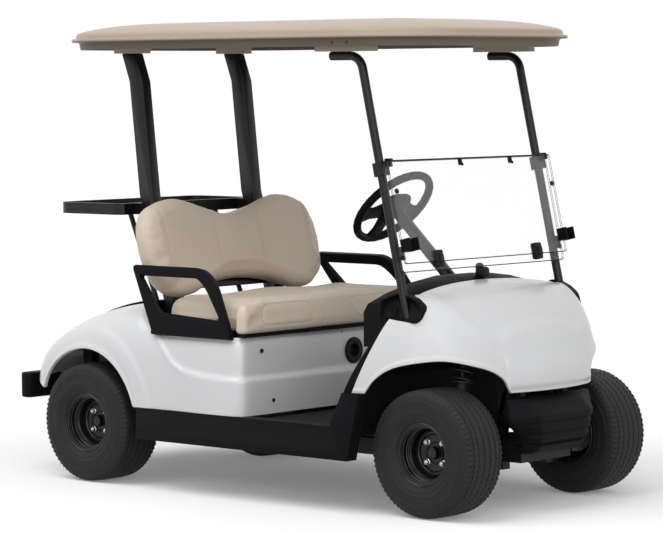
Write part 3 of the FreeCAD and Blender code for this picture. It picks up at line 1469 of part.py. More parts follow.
# Steering column and wheel
wheel_centre_ahead = 843.0
wheel_centre_y = 280.0
wheel_centre_z = 1052.0
wheel_radius = 171.0
wheel_grip_radius = 14.0
column_angle = 42.9
column_radius = 24.0
column_length = 783.0
column_hole_reach = 40.0
column_collar_radius = 42.0
column_collar_reach = 18.0
lower_shaft_radius = 10.0
lower_shaft_start = 30.0
column_start = 40.0
column_shaft_radius = 12.0
wheel_hub_radius = 52.0
wheel_hub_depth = 30.0
wheel_pad_radius = 40.0
spoke_reach = [20.0, 52.0, 85.0, 120.0, 150.0, 169.0]
spoke_half_width = [36.0, 27.0, 18.0, 15.0, 19.0, 30.0]
spoke_thickness = 12.0
spoke_count = 3
spoke_first_angle = 90
column_way = Vector(math.cos(math.radians(column_angle)), 0, -math.sin(math.radians(column_angle)))


def column_point(distance):
    centre = Vector(ahead(wheel_centre_ahead), wheel_centre_y, wheel_centre_z)
    return centre.add(column_way * distance)


def steering_column():
    """Column tube through the toe board, with the angled shaft down to the rack's pinion."""
    tube = rod(column_point(column_start), column_point(column_length + lower_shaft_start + overrun),
               column_radius)
    collar = rod(column_point(column_length - column_collar_reach),
                 column_point(column_length + column_collar_reach), column_collar_radius)
    collar = largest(collar.cut(floor_pan()))
    shaft = rod(column_point(column_length + lower_shaft_start),
                Vector(front_axle_x - steer_arm_length, pinion_y, pinion_top_z), lower_shaft_radius)
    coupling = Part.makeSphere(2 * lower_shaft_radius, column_point(column_length + lower_shaft_start))
    below = rod(Vector(front_axle_x - steer_arm_length, pinion_y, rack_line_z()),
                Vector(front_axle_x - steer_arm_length, pinion_y, pinion_top_z), 2 * pinion_radius)
    tube = fused([tube, collar, coupling, shaft]).cut(below)
    bore = rod(column_point(column_start - overrun), column_point(column_start * 2 + overrun),
               column_shaft_radius + running_gap)
    return tube.cut(bore)


def steering_wheel():
    ring = Part.makeTorus(wheel_radius, wheel_grip_radius)
    hub = Part.makeCylinder(wheel_hub_radius, wheel_hub_depth / 2, Vector(0, 0, -wheel_hub_depth / 2))
    pad = Part.makeCone(wheel_hub_radius, wheel_pad_radius, wheel_hub_depth / 2)
    shaft = Part.makeCylinder(column_shaft_radius, column_start * 2, Vector(0, 0, -column_start * 2))
    pieces = [ring, hub, pad, shaft]
    edge = list(zip(spoke_reach, spoke_half_width))
    outline = edge + [(reach, -half) for reach, half in reversed(edge)]
    for index in range(spoke_count):
        spoke = plan_plate(outline, -spoke_thickness / 2, spoke_thickness / 2)
        spoke.rotate(origin, up_axis, spoke_first_angle + index * 360 / spoke_count)
        pieces.append(spoke)
    wheel = fused(pieces)
    wheel.Placement = FreeCAD.Placement(column_point(0), FreeCAD.Rotation(up_axis, column_way * -1))
    return wheel


# Pedals on the toe board
pedal_z = 345.0
brake_y = 250.0
throttle_y = 130.0
pedal_width = 70.0
pedal_height = 90.0
pedal_thickness = 12.0
pedal_stem = 40.0


def pedal(y, height):
    lean = math.atan((toe_top_x - toe_front) / (toe_top_z - floor_z))
    rise = pedal_z - floor_z
    x = ahead(toe_front) + rise * math.tan(lean) - floor_thickness / math.cos(lean) - pedal_stem
    pad = block(x - pedal_thickness, x, y - pedal_width / 2, y + pedal_width / 2, pedal_z,
                pedal_z + height)
    pad.rotate(Vector(x, y, pedal_z), side_axis, math.degrees(lean))
    stem_z = pedal_z + pedal_height / 3
    start = x + (stem_z - pedal_z) * math.tan(lean) - pedal_thickness / 2
    toe_x = ahead(toe_front) + (stem_z - floor_z) * math.tan(lean)
    stem = rod(Vector(start, y, stem_z), Vector(toe_x + pedal_thickness, y, stem_z), pedal_thickness)
    return pad.fuse(stem)


def pedals():
    pan = floor_pan()
    pair = [pedal(brake_y, pedal_height).cut(pan), pedal(throttle_y, pedal_height).cut(pan)]
    return Part.makeCompound(pair)


def keep(node, shape):
    """Writes one node's STEP file."""
    shape.exportStep("parts/" + node + ".step")


front_y = front_track / 2
rear_y = rear_track / 2
tyre = tyre_solid()
rim_out_left = rim_solid(1)
rim_out_right = rim_solid(-1)
for corner, x, y in (("front_left", front_axle_x, front_y), ("front_right", front_axle_x, -front_y),
                     ("rear_left", rear_axle_x, rear_y), ("rear_right", rear_axle_x, -rear_y)):
    keep("tyre_" + corner, at_wheel(tyre, x, y))
    keep("rim_" + corner, at_wheel(rim_out_left if y > 0 else rim_out_right, x, y))

keep("knuckle_left", knuckle_left())
keep("knuckle_right", mirrored(knuckle_left()))
keep("tie_rod_left", tie_rod_left())
keep("tie_rod_right", mirrored(tie_rod_left()))
keep("steering_rack", steering_rack())
keep("front_springs", both(front_spring_left()))
cowl = front_cowl()
keep("frame", fused([chassis_frame(), nose_bracket(cowl), mirrored(nose_bracket(cowl))]))
keep("front_suspension", front_suspension())
keep("rear_axle", rear_axle())
keep("motor", motor())
damper, damper_spring = rear_dampers()
keep("rear_dampers", Part.makeCompound([both(damper), both(damper_spring)]))
keep("battery_pack", battery_pack())
keep("floor_pan", floor_pan())
keep("sills", both(sill_left()))
keep("front_cowl", cowl)
keep("dash", dash())
keep("front_bumper", front_bumper())
body_shell = rear_body()
keep("rear_body", body_shell)
keep("pod_panel", pod_panel(body_shell))
keep("charge_socket", charge_socket())
keep("seat_cushion", seat_cushion())
keep("seat_pan", seat_pan())
keep("seat_back", seat_back())
keep("hip_restraints", hip_restraints(body_shell))
struts = rear_struts()
keep("rear_struts", struts)
keep("front_struts", front_struts())
sun_top = roof()
keep("roof", sun_top)
keep("roof_brackets", roof_brackets(sun_top))
keep("bag_rack", bag_rack(struts))
keep("bag_deck", bag_deck())
keep("rear_bumper", rear_bumper())
keep("windshield_lower", windshield_lower())
keep("windshield_upper", windshield_upper())
keep("windshield_latches", windshield_latches())
keep("steering_column", steering_column())
keep("steering_wheel", steering_wheel())
keep("pedals", pedals())
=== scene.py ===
"""Looks of the two-seat golf cart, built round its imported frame."""
from math import atan2, cos, pi, radians, sin

import bmesh
import bpy
import numpy as np
from mathutils import Matrix, Vector
from mathutils.bvhtree import BVHTree


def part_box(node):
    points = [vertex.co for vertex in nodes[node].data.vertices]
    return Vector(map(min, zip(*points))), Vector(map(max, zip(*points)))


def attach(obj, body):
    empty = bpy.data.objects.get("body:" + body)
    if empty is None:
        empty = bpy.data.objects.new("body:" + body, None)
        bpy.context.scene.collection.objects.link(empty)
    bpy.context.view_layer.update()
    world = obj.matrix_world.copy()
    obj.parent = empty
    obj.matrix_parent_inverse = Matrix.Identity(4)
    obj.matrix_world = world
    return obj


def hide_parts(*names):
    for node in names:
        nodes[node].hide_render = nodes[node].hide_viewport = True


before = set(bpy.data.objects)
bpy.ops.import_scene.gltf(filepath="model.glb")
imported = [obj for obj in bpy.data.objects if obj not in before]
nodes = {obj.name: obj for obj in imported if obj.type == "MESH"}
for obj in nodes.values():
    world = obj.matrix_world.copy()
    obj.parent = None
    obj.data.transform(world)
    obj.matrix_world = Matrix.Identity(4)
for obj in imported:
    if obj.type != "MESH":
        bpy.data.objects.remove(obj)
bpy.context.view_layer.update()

REAR_AXLE_X = -0.695
TYRE_R = 0.229
SIDES = (("left", 1), ("right", -1))


def ahead(distance):
    """X of a station measured forward from the rear axle."""
    return REAR_AXLE_X + distance


def mm(rows):
    """Numbers or rows of numbers given in millimetres, as metres."""
    return [mm(row) if isinstance(row, tuple) else row / 1000 for row in rows]


def add_object(name, data):
    """New object in the scene."""
    obj = bpy.data.objects.new(name, data)
    bpy.context.scene.collection.objects.link(obj)
    return obj


# Camera
YAW, PITCH, ROLL = radians(41.58), radians(3.73), radians(-0.33)
CAMERA_AT = Vector((7.598, -8.48, 1.558))
SENSOR, FOCAL_PIXELS, FRAME_PIXELS = 36.0, 2974, 663
back = Vector((sin(YAW) * cos(PITCH), -cos(YAW) * cos(PITCH), sin(PITCH)))
level = Vector((cos(YAW), sin(YAW), 0))
up = level.cross(-back)
lens = bpy.data.cameras.new("camera")
lens.sensor_width = SENSOR
lens.lens = FOCAL_PIXELS / FRAME_PIXELS * SENSOR
lens.clip_end = 200
camera = add_object("camera", lens)
pose = Matrix((cos(ROLL) * level + sin(ROLL) * up,
               -sin(ROLL) * level + cos(ROLL) * up, back)).transposed().to_4x4()
pose.translation = CAMERA_AT
camera.matrix_world = pose
bpy.context.scene.camera = camera
bpy.context.scene.view_settings.view_transform = "Standard"


# Finishes
class Graph:
    """Node tree of a material or a world, with short calls for the nodes used here."""

    def __init__(self, owner, output="OutputMaterial"):
        owner.use_nodes = True
        self.tree = owner.node_tree
        self.tree.nodes.clear()
        self.out = self.node(output)

    def node(self, kind, feeds=(), **values):
        """New node. feeds are linked into its sockets, values are its settings and constants."""
        made = self.tree.nodes.new("ShaderNode" + kind)
        for key, value in values.items():
            if hasattr(made, key) and key not in made.inputs:
                setattr(made, key, value)
            else:
                made.inputs[key].default_value = value
        for key, source in dict(feeds).items():
            if hasattr(source, "outputs"):
                source = source.outputs[0]
            self.tree.links.new(source, made.inputs[key])
        return made

    def noise(self, where, scale, detail, roughness=0.5):
        return self.node("TexNoise", {"Vector": where}, Scale=scale, Detail=detail,
                         Roughness=roughness)

    def ranged(self, value, low, high, start=0.0, end=1.0):
        """Value between start and end, brought between low and high."""
        return self.node("MapRange", {"Value": value}, clamp=True, **{
            "From Min": start, "From Max": end, "To Min": low, "To Max": high})

    def laid_over(self, amount, below, colour):
        mix = self.node("Mix", {0: amount, 6: below}, data_type="RGBA")
        mix.inputs[7].default_value = (*colour, 1)
        return mix.outputs[2]

    def show(self, shader):
        self.tree.links.new(shader.outputs[0], self.out.inputs[0])


MAT = {}


def new_material(name):
    """Graph of a new material, which is kept in MAT."""
    MAT[name] = bpy.data.materials.new(name)
    return Graph(MAT[name])


def finish(name, colour, rough, tint=(0.06, 6.0), gloss=(0.08, 30.0), grain=(900.0, 0.0002, 0.35),
           leather=False, dust=None, edge=None, shine=0.5, **constants):
    """Procedural surface: mottled colour, uneven gloss, fine grain, dust on top and worn edges.

    tint and gloss are (spread, scale), grain is (scale, depth, strength), dust and edge are
    (colour, level).
    """
    tint, tint_scale = tint
    spread, gloss_scale = gloss
    grain_scale, grain_depth, grain_strength = grain
    g = new_material(name)
    where = g.node("TexCoord").outputs["Object"]
    ramp = g.node("ValToRGB", {"Fac": g.noise(where, tint_scale, 6.0, 0.6)})
    for stop, position, shade in zip(ramp.color_ramp.elements, (0.3, 0.7), (1 - tint, 1 + tint)):
        stop.position = position
        stop.color = (*(min(1.0, c * shade) for c in colour), 1)
    tone = ramp.outputs["Color"]
    shape = g.node("NewGeometry")
    if dust:
        upward = g.node("SeparateXYZ", {0: shape.outputs["Normal"]}).outputs["Z"]
        patches = g.noise(where, tint_scale * 3, 8.0, 0.7)
        amount = g.node("Math", {0: g.ranged(upward, 0.0, dust[1], 0.2), 1: patches},
                        operation="MULTIPLY")
        tone = g.laid_over(amount, tone, dust[0])
    if edge:
        worn = g.ranged(shape.outputs["Pointiness"], 0.0, edge[1], 0.52, 0.6)
        tone = g.laid_over(worn, tone, edge[0])
    rough = g.ranged(g.noise(where, gloss_scale, 4.0), max(0.02, rough - spread),
                     min(1.0, rough + spread))
    if leather:
        grain = g.node("TexVoronoi", {"Vector": where}, Scale=grain_scale,
                       feature="DISTANCE_TO_EDGE")
    else:
        grain = g.noise(where, grain_scale, 3.0)
    bump = g.node("Bump", {"Height": grain}, Strength=grain_strength, Distance=grain_depth)
    g.show(g.node("BsdfPrincipled", {"Base Color": tone, "Roughness": rough, "Normal": bump},
                  **{"Specular IOR Level": shine}, **constants))


finish("body_white", (0.69, 0.695, 0.705), 0.22, (0.012, 2.5), (0.04, 30), (55, 0.0003, 0.0))
finish("black_plastic", (0.0065, 0.0068, 0.0078), 0.48, (0.15, 6), grain=(1400, 0.00025, 0.4),
       dust=((0.06, 0.06, 0.065), 0.02), shine=0.05)
finish("strut_black", (0.004, 0.0042, 0.0052), 0.34, (0.12, 6), (0.06, 30), (700, 0.0002, 0.2),
       shine=0.3)
finish("chassis_steel", (0.009, 0.0092, 0.01), 0.5, (0.2, 6), (0.12, 30), (400, 0.0003, 0.25),
       dust=((0.07, 0.066, 0.06), 0.3), shine=0.25)
finish("wheel_black", (0.005, 0.0052, 0.006), 0.28, (0.1, 6), (0.06, 30), (500, 0.0002, 0.12),
       edge=((0.05, 0.05, 0.055), 0.4), shine=0.35)
finish("bare_steel", (0.45, 0.45, 0.47), 0.3, (0.1, 6), (0.1, 120), Metallic=1.0)
finish("spring_steel", (0.01, 0.01, 0.012), 0.34, (0.15, 6), shine=0.35)
finish("alloy", (0.2, 0.2, 0.21), 0.46, (0.12, 6), (0.1, 30), (650, 0.0005, 0.5), Metallic=0.85)
finish("battery_case", (0.02, 0.021, 0.024), 0.45, (0.12, 6), dust=((0.08, 0.08, 0.08), 0.2),
       shine=0.25)
finish("seat_vinyl", (0.66, 0.56, 0.455), 0.46, (0.035, 5), (0.06, 30), (520, 0.00045, 0.32), True,
       shine=0.35, **{"Sheen Weight": 0.08, "Sheen Roughness": 0.4})
finish("thread", (0.66, 0.58, 0.49), 0.6, (0.08, 200), grain=(2500, 0.0002, 0.35), shine=0.3)
finish("roof_beige", (0.44, 0.35, 0.27), 0.38, (0.025, 2.5), (0.06, 30), (320, 0.0003, 0.12),
       shine=0.35)
# The sun top's beige darkened for its skirt and underside: painted shade, not a different plastic
finish("roof_underside_painted_shade", (0.2, 0.16, 0.125), 0.5, (0.05, 3), grain=(320, 0.0002, 0.35), shine=0.2)
finish("tyre", (0.013, 0.0132, 0.0145), 0.62, (0.18, 14), (0.1, 30), (1100, 0.0004, 0.4),
       dust=((0.05, 0.049, 0.047), 0.12), shine=0.25)
finish("rubber", (0.007, 0.007, 0.008), 0.55, (0.2, 6), shine=0.2)
finish("chrome", (0.5, 0.5, 0.52), 0.2, gloss=(0.05, 160), Metallic=1.0)


# Clear hard-coated sheet: a thin haze, and a shine that comes up at a flat angle
g = new_material("clear_pane")
haze = g.noise(g.node("TexCoord").outputs["Object"], 5.0, 4.0)
slope = g.node("LayerWeight", Blend=0.25)
g.show(g.node("BsdfPrincipled", {"Alpha": g.ranged(slope.outputs["Fresnel"], 0.01, 0.085),
                                 "Roughness": g.ranged(haze, 0.02, 0.08)},
              **{"Base Color": (0.93, 0.95, 0.96, 1), "Specular IOR Level": 0.6}))


# Mesh helpers
def edited(data, *steps):
    """Runs bmesh steps on a mesh."""
    bm = bmesh.new()
    bm.from_mesh(data)
    for step in steps:
        step(bm)
    bm.to_mesh(data)
    bm.free()


def joined(bm, reach=1e-6):
    bmesh.ops.remove_doubles(bm, verts=bm.verts, dist=reach)


def turned_out(bm):
    bmesh.ops.recalc_face_normals(bm, faces=bm.faces)


def flattened(bm, angle):
    bmesh.ops.dissolve_limit(bm, angle_limit=angle, verts=bm.verts, edges=bm.edges)


def smooth(obj, degrees):
    """Smooth shading with edges sharper than the angle kept crisp."""
    def shade(bm):
        for face in bm.faces:
            face.smooth = True
        for edge in bm.edges:
            edge.smooth = (len(edge.link_faces) == 2
                           and edge.calc_face_angle(0) < radians(degrees))
    edited(obj.data, shade)


def new_mesh(name, form):
    data = bpy.data.meshes.new(name)
    data.from_pydata([tuple(v) for v in form[0]], [], [tuple(f) for f in form[1]])
    return data


def fitted(obj, mat, body, slot, degrees):
    """Gives an object its material, its shading and the body it rides on. slot is not used."""
    obj.data.materials.clear()
    obj.data.materials.append(MAT[mat])
    smooth(obj, degrees)
    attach(obj, body)
    return obj


def piece(name, form, mat, degrees, body="chassis", slot=None, clean=True):
    """New object made of a (vertices, faces) form."""
    data = new_mesh(name, form)
    if clean:
        edited(data, joined, turned_out)
    return fitted(add_object(name, data), mat, body, slot or mat, degrees)


class Parts:
    """Several closed forms gathered into one."""

    def __init__(self):
        self.form = ([], [])

    def add(self, form, matrix=None):
        verts, faces = self.form
        base = len(verts)
        verts.extend(tuple(matrix @ Vector(v)) if matrix else tuple(v) for v in form[0])
        faces.extend(tuple(base + i for i in f) for f in form[1])


def shifted(form, offset):
    return [tuple(a + b for a, b in zip(v, offset)) for v in form[0]], form[1]


def mirrored(form):
    return [(x, -y, z) for x, y, z in form[0]], [tuple(reversed(f)) for f in form[1]]


def circle(count, radius=1.0):
    angles = [2 * pi * k / count for k in range(count)]
    return [(radius * cos(a), radius * sin(a)) for a in angles]


def ring_loft(rings, cap_first=True, loop=False):
    """Quads between successive closed rings with equal counts, capped or joined to a loop."""
    count, total = len(rings[0]), len(rings)
    faces = []
    for r in range(total if loop else total - 1):
        here, there = r * count, (r + 1) % total * count
        for i in range(count):
            j = (i + 1) % count
            faces.append((here + i, here + j, there + j, there + i))
    if cap_first and not loop:
        faces.append(tuple(reversed(range(count))))
    if not loop:
        faces.append(tuple((total - 1) * count + i for i in range(count)))
    return [v for ring in rings for v in ring], faces


def lathe(profile, segments, wave=lambda row, column: 0.0):
    """Closed (radius, y) profile turned about Y. wave gives y offsets per row and column."""
    return ring_loft([[(r * c, y + wave(i, k), r * s) for i, (r, y) in enumerate(profile)]
                      for k, (c, s) in enumerate(circle(segments))], loop=True)


def turned_cap(profile, segments):
    """Open (radius, y) profile that ends near the axis at both ends, turned about Y."""
    return ring_loft([[(r * c, y, r * s) for c, s in circle(segments)] for r, y in profile])


def tube(points, radii, sides, closed=False):
    """Round bar that follows the points."""
    pts = [Vector(p) for p in points]
    n, side, rings = len(pts), None, []
    for i, p in enumerate(pts):
        before = pts[(i - 1) % n] if closed or i else p
        after = pts[(i + 1) % n] if closed or i < n - 1 else p
        way = (after - before).normalized()
        if side is None:
            ref = Vector((0, 0, 1)) if abs(way.z) < 0.9 else Vector((1, 0, 0))
            side = way.cross(ref).normalized()
        side = (side - way * side.dot(way)).normalized()
        other = way.cross(side)
        rings.append([p + radii[i] * (c * side + s * other) for c, s in circle(sides)])
    return ring_loft(rings, loop=closed)


def soft_polygon(points, radius, steps=6):
    """Outline with its corners rounded, as a list of 2-D points."""
    out = []
    for i, p in enumerate(points):
        p = Vector(p)
        u, w = Vector(points[i - 1]) - p, Vector(points[(i + 1) % len(points)]) - p
        reach = radius[i] if isinstance(radius, list) else radius
        reach = min(reach, u.length * 0.48, w.length * 0.48)
        s, e = p + u.normalized() * reach, p + w.normalized() * reach
        for k in range(steps + 1):
            t = k / steps
            out.append((1 - t) ** 2 * s + 2 * t * (1 - t) * p + t ** 2 * e)
    return [(v.x, v.y) for v in out]


def modified(obj, kind, **settings):
    """Puts a modifier on an object and freezes its modifiers into the mesh."""
    mod = obj.modifiers.new(kind.lower(), kind)
    for key, value in settings.items():
        setattr(mod, key, value)
    dg = bpy.context.evaluated_depsgraph_get()
    dg.update()
    data = bpy.data.meshes.new_from_object(obj.evaluated_get(dg))
    obj.modifiers.clear()
    obj.data = data


def bevelled(obj, width, segments, degrees):
    modified(obj, "BEVEL", width=width, segments=segments, limit_method="ANGLE",
             angle_limit=radians(degrees))


# Solids that stay as they are, in the scene's finishes
SHOWN_AS = {
    "chassis_steel": "frame front_suspension knuckle_left knuckle_right tie_rod_left"
                     " tie_rod_right",
    "bare_steel": "steering_rack",
    "spring_steel": "front_springs rear_dampers",
    "alloy": "rear_axle motor",
    "battery_case": "battery_pack",
    "black_plastic": "floor_pan charge_socket seat_pan windshield_latches pedals",
    "strut_black": "front_struts bag_rack steering_column",
    "clear_pane": "windshield_lower windshield_upper",
}
for mat, names in SHOWN_AS.items():
    for node in names.split():
        obj = nodes[node]
        if not obj.material_slots:
            obj.data.materials.append(MAT[mat])
        for slot in obj.material_slots:
            slot.material = MAT[mat]


# Tyres: zig-zag circumferential grooves, serrated shoulders and sidewall rings
TYRE_SIDE = mm([
    (102, 82), (114.5, 83), (114.5, 89.5), (121, 92.5), (126.5, 94.5), (131, 96.2), (132.5, 97.5),
    (133.5, 96.5), (148, 99), (150, 100.2), (152, 99.5), (168, 101), (184, 99.8), (185.5, 101.2),
    (187.5, 101.2), (189, 99.6), (199, 98.3), (207, 96)])
TYRE_SHOULDER = mm([(212.5, 93.5, 0), (216.5, 91, 2.2), (220.5, 88.5, 3), (223.5, 85, 3)])
TYRE_INSIDE = mm([
    (102, -68), (116, -68), (168, -87.5), (203, -84), (214, -42), (214, 42), (203, 84),
    (168, 87.5), (116, 68), (102, 68)])
GROOVES_Y = mm([71.5, 46.5, 15.5, -15.5, -46.5, -71.5])
GROOVE_HALF, GROOVE_DEPTH, GROOVE_WAVE = 0.0019, 0.0052, 0.0033
GROOVE_ROWS = [(0.0002, GROOVE_HALF + 0.0006), (0.0012, GROOVE_HALF),
               (GROOVE_DEPTH, GROOVE_HALF * 0.75)]
TREAD_HALF, TREAD_DROP = 0.084, 0.0028


def tread_radius(y):
    return TYRE_R - TREAD_DROP * (abs(y) / TREAD_HALF) ** 2.5


def tyre_form():
    """Rows of (radius, y, wave) turned about the axle; the wave shifts every fourth column."""
    half = [(r, y, 0.0) for r, y in TYRE_SIDE] + TYRE_SHOULDER
    rows = list(half)
    for index, g in enumerate(GROOVES_Y):
        if index:
            mid = (g + GROOVES_Y[index - 1]) / 2
            rows.append((tread_radius(mid), mid, 0.0))
        for way in (1, -1):
            rows += [(tread_radius(g) - drop, g + way * off, GROOVE_WAVE)
                     for drop, off in GROOVE_ROWS[::way]]
    rows += [(r, -y, wave) for r, y, wave in reversed(half)]
    rows += [(r, y, 0.0) for r, y in TYRE_INSIDE]
    return lathe([row[:2] for row in rows], 288,
                 lambda row, column: rows[row][2] * (1 - 4 * abs((column % 4) / 4 - 0.5)))


TYRE = tyre_form()
WHEELS = {"front_left": (0.945, 0.425, TYRE_R), "front_right": (0.945, -0.425, TYRE_R),
          "rear_left": (-0.695, 0.48, TYRE_R), "rear_right": (-0.695, -0.48, TYRE_R)}
for key, at in WHEELS.items():
    tyre = piece("tyre_tread_" + key, shifted(TYRE, at), "tyre", 28, "wheel_" + key)
    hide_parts("tyre_" + key)


# Wheels: stepped barrel, dished disc, dust cap, four nuts with washers, and the drum behind
BARREL = mm([
    (113.2, 88.5), (113.2, 86.5), (101.7, 81.5), (101.7, 49), (90.5, 41), (90.5, -41),
    (101.7, -49), (101.7, -81.5), (113.2, -86.5), (113.2, -88.5), (111.5, -90), (109.2, -89),
    (108.5, -84.5), (97.5, -79.5), (97.5, -50.5), (86.2, -42.5), (86.2, 40.5), (89.5, 44),
    (90.5, 47.5), (93.5, 49), (94.5, 52.5), (97.5, 54.5), (97.8, 66.5), (96.2, 68), (96.2, 70),
    (98.5, 71.5), (99, 77.5), (106, 80.5), (107.8, 83), (108.8, 88), (111.2, 90)])
DISC = mm([
    (87.5, 10.5), (84.5, 11), (81.5, 19), (78, 20.5), (70, 20), (67, 17.5), (64, 10), (60.5, 8.5),
    (40.5, 8.5), (38, 12.5), (36, 12.5), (34, 9), (20, 9), (20, 2), (64, 2), (70, 14), (78, 14),
    (84.5, 4), (87.5, 4)])
CAP = mm([
    (23.5, 6), (23.5, 12), (22.2, 13.5), (22.2, 29), (20.5, 32.5), (16, 34.7), (8, 35.2),
    (1, 35.3)])
WASHER = mm([(1, 7.5), (12, 7.5), (12, 10), (10.5, 11), (1, 11)])
NUT = mm([(9.8, 10.5), (9.8, 20.3), (8.6, 21.5)])
STUD = mm([(1, 20), (5.2, 20), (5.2, 24.5), (4.2, 25.5), (1, 25.7)])
DRUM = mm([
    (1, -55), (30, -55), (30, -44), (74, -44), (76, -42), (76, -10), (73, -8), (30, -8), (30, 4),
    (1, 4)])
NUT_CIRCLE = 0.0508
rim, nuts, drum = Parts(), Parts(), Parts()
rim.add(lathe(BARREL, 96))
rim.add(lathe(DISC, 96))
rim.add(turned_cap([(0.001, 0.006)] + CAP, 40))
for k in range(4):
    a = 2 * pi * (k + 0.5) / 4
    place = Matrix.Translation((NUT_CIRCLE * cos(a), 0, NUT_CIRCLE * sin(a)))
    for profile, segments in ((WASHER, 24), (NUT, 6), (STUD, 16)):
        nuts.add(turned_cap(profile, segments), place)
drum.add(turned_cap(DRUM, 64))
for key, at in WHEELS.items():
    for name, made, mat, slot in (("barrel", rim, "wheel_black", "wheel_black"),
                                  ("nuts", nuts, "chrome", "bare_steel"),
                                  ("drum", drum, "alloy", "wheel_black")):
        form = made.form if at[1] > 0 else mirrored(made.form)
        obj = piece(f"wheel_{name}_{key}", shifted(form, at), mat, 30, "wheel_" + key, slot)
        if made is rim:
            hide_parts("rim_" + key)


# Soft goods
CLOTH = {"quality": 4, "mass": 0.4, "tension_stiffness": 25, "compression_stiffness": 25,
         "shear_stiffness": 12, "bending_stiffness": 2.0, "use_pressure": True,
         "uniform_pressure_force": 4.0}
CLOTH_FRAMES, VOXEL, QUICK_VOXEL = 20, 0.0078, 0.012


def rows_of(obj, key="co"):
    """Positions or normals of the vertices as rows."""
    out = np.zeros(len(obj.data.vertices) * 3, np.float32)
    obj.data.vertices.foreach_get(key, out)
    return out.reshape(-1, 3)


def coords(obj):
    return rows_of(obj).astype(float)


def set_coords(obj, co):
    obj.data.vertices.foreach_set("co", co.astype(np.float32).ravel())
    obj.data.update()


def puffed(obj, cap, held):
    """Swells a closed pad with cloth, keeps each point near its start and smooths the result."""
    modified(obj, "REMESH", mode="VOXEL", voxel_size=VOXEL)
    start = rows_of(obj)
    obj.vertex_groups.new(name="held").add(np.nonzero(held(start))[0].tolist(), 1.0, "REPLACE")
    cloth = obj.modifiers.new("cloth", "CLOTH")
    for key, value in CLOTH.items():
        setattr(cloth.settings, key, value)
    cloth.settings.effector_weights.gravity = 0
    cloth.settings.vertex_group_mass = "held"
    cloth.collision_settings.use_collision = False
    cloth.point_cache.frame_start, cloth.point_cache.frame_end = 1, CLOTH_FRAMES
    for f in range(1, CLOTH_FRAMES + 1):
        bpy.context.scene.frame_set(f)
    step = rows_of(obj.evaluated_get(bpy.context.evaluated_depsgraph_get())) - start
    size = np.linalg.norm(step, axis=1, keepdims=True)
    limit = cap * np.tanh(size / cap)
    step = np.where(size > 1e-9, step / np.maximum(size, 1e-9) * limit, 0)
    obj.modifiers.clear()
    obj.vertex_groups.clear()
    set_coords(obj, start + step)
    bpy.context.scene.frame_set(1)
    modified(obj, "SMOOTH", factor=0.5, iterations=10)
    modified(obj, "SUBSURF", levels=1, render_levels=1)


def seam_distance(points2d, line):
    """Distance from 2-D points to an open line of 2-D points."""
    best = np.full(len(points2d), 1e9)
    line = np.array(line, float)
    for a, b in zip(line[:-1], line[1:]):
        ab = b - a
        t = np.clip(((points2d - a) @ ab) / max(ab @ ab, 1e-12), 0, 1)
        best = np.minimum(best, np.linalg.norm(points2d - (a + t[:, None] * ab), axis=1))
    return best


def groove(obj, axes, line, depth, width, mask):
    """Presses a seam into the pad. axes are the two in which the line is given."""
    co, no = coords(obj), rows_of(obj, "normal").astype(float)
    amount = depth * np.exp(-(seam_distance(co[:, axes], line) / width) ** 2) * mask(co, no)
    set_coords(obj, co - no * amount[:, None])


XY, YZ = (0, 1), (1, 2)
STITCH_PITCH, STITCH_LENGTH, STITCH_RADIUS = 0.007, 0.0045, 0.0006


def stitches(name, pad, points, body):
    """A row of thread stitches laid on the pad's front along the points."""
    bm = bmesh.new()
    bm.from_mesh(pad.data)
    tree = BVHTree.FromBMesh(bm)
    bm.free()
    line, made, back_way = [Vector(p) for p in points], Parts(), Vector((-1, 0, 0))
    travelled = target = 0.0
    for a, b in zip(line, line[1:]):
        reach, along = (b - a).length, (b - a).normalized()
        while target <= travelled + reach:
            p = a + (b - a) * ((target - travelled) / max(reach, 1e-9))
            cast = tree.ray_cast(p - back_way * 0.2, back_way)
            hit, normal = (tree.find_nearest(p) if cast[0] is None else cast)[:2]
            t = (along - normal * along.dot(normal)).normalized() * STITCH_LENGTH
            c, rise = hit + normal * STITCH_RADIUS * 0.7, normal * STITCH_RADIUS * 0.6
            made.add(tube([c - t / 2, c - t / 4 + rise, c + t / 4 + rise, c + t / 2],
                          [STITCH_RADIUS * share for share in (0.6, 1, 1, 0.6)], 5))
            target += STITCH_PITCH
        travelled += reach
    piece(name, made.form, "thread", 60, body, "seat_vinyl", clean=False)


# Cushion
CUSHION_LEVELS = mm([
    (4, 613.5), (0, 623.5), (0, 683.5), (3, 700), (12, 718), (28, 727), (48, 730)])
OVAL_LEFT = mm([(-475, 640), (-200, 640), (-185, 680), (-215, 716), (-455, 716)])
OVAL_RIGHT = mm([(445, 640), (60, 640), (15, 705), (60, 718), (445, 718)])
SEAM = mm([(-150, 722), (-138, 700), (-131, 675), (-132, 650), (-140, 616)])
TOP_SEAM = mm([(850, -146), (700, -155), (500, -150), (360, -140)])
SEAM_GAP = 0.012


def cushion_outline(inset=0.0):
    rear, step, front = ahead(0.358) + inset, ahead(0.792) + inset, ahead(0.852) - inset
    side, wide = 0.494 - inset, 0.575 - inset
    half = [(front, wide), (step, wide), (step, side), (rear, side)]
    return soft_polygon([(x, -y) for x, y in reversed(half)] + half,
                        [0.06, 0.012, 0.028, 0.045, 0.045, 0.028, 0.012, 0.06], 8)


# How far a groove reaches the points of a pad, by their places c and normals n
def front(c, n):
    return np.clip((c[:, 0] - ahead(0.8)) / 0.02, 0, 1)


def over(c, n):
    return np.clip((c[:, 2] - 0.7) / 0.02, 0, 1)


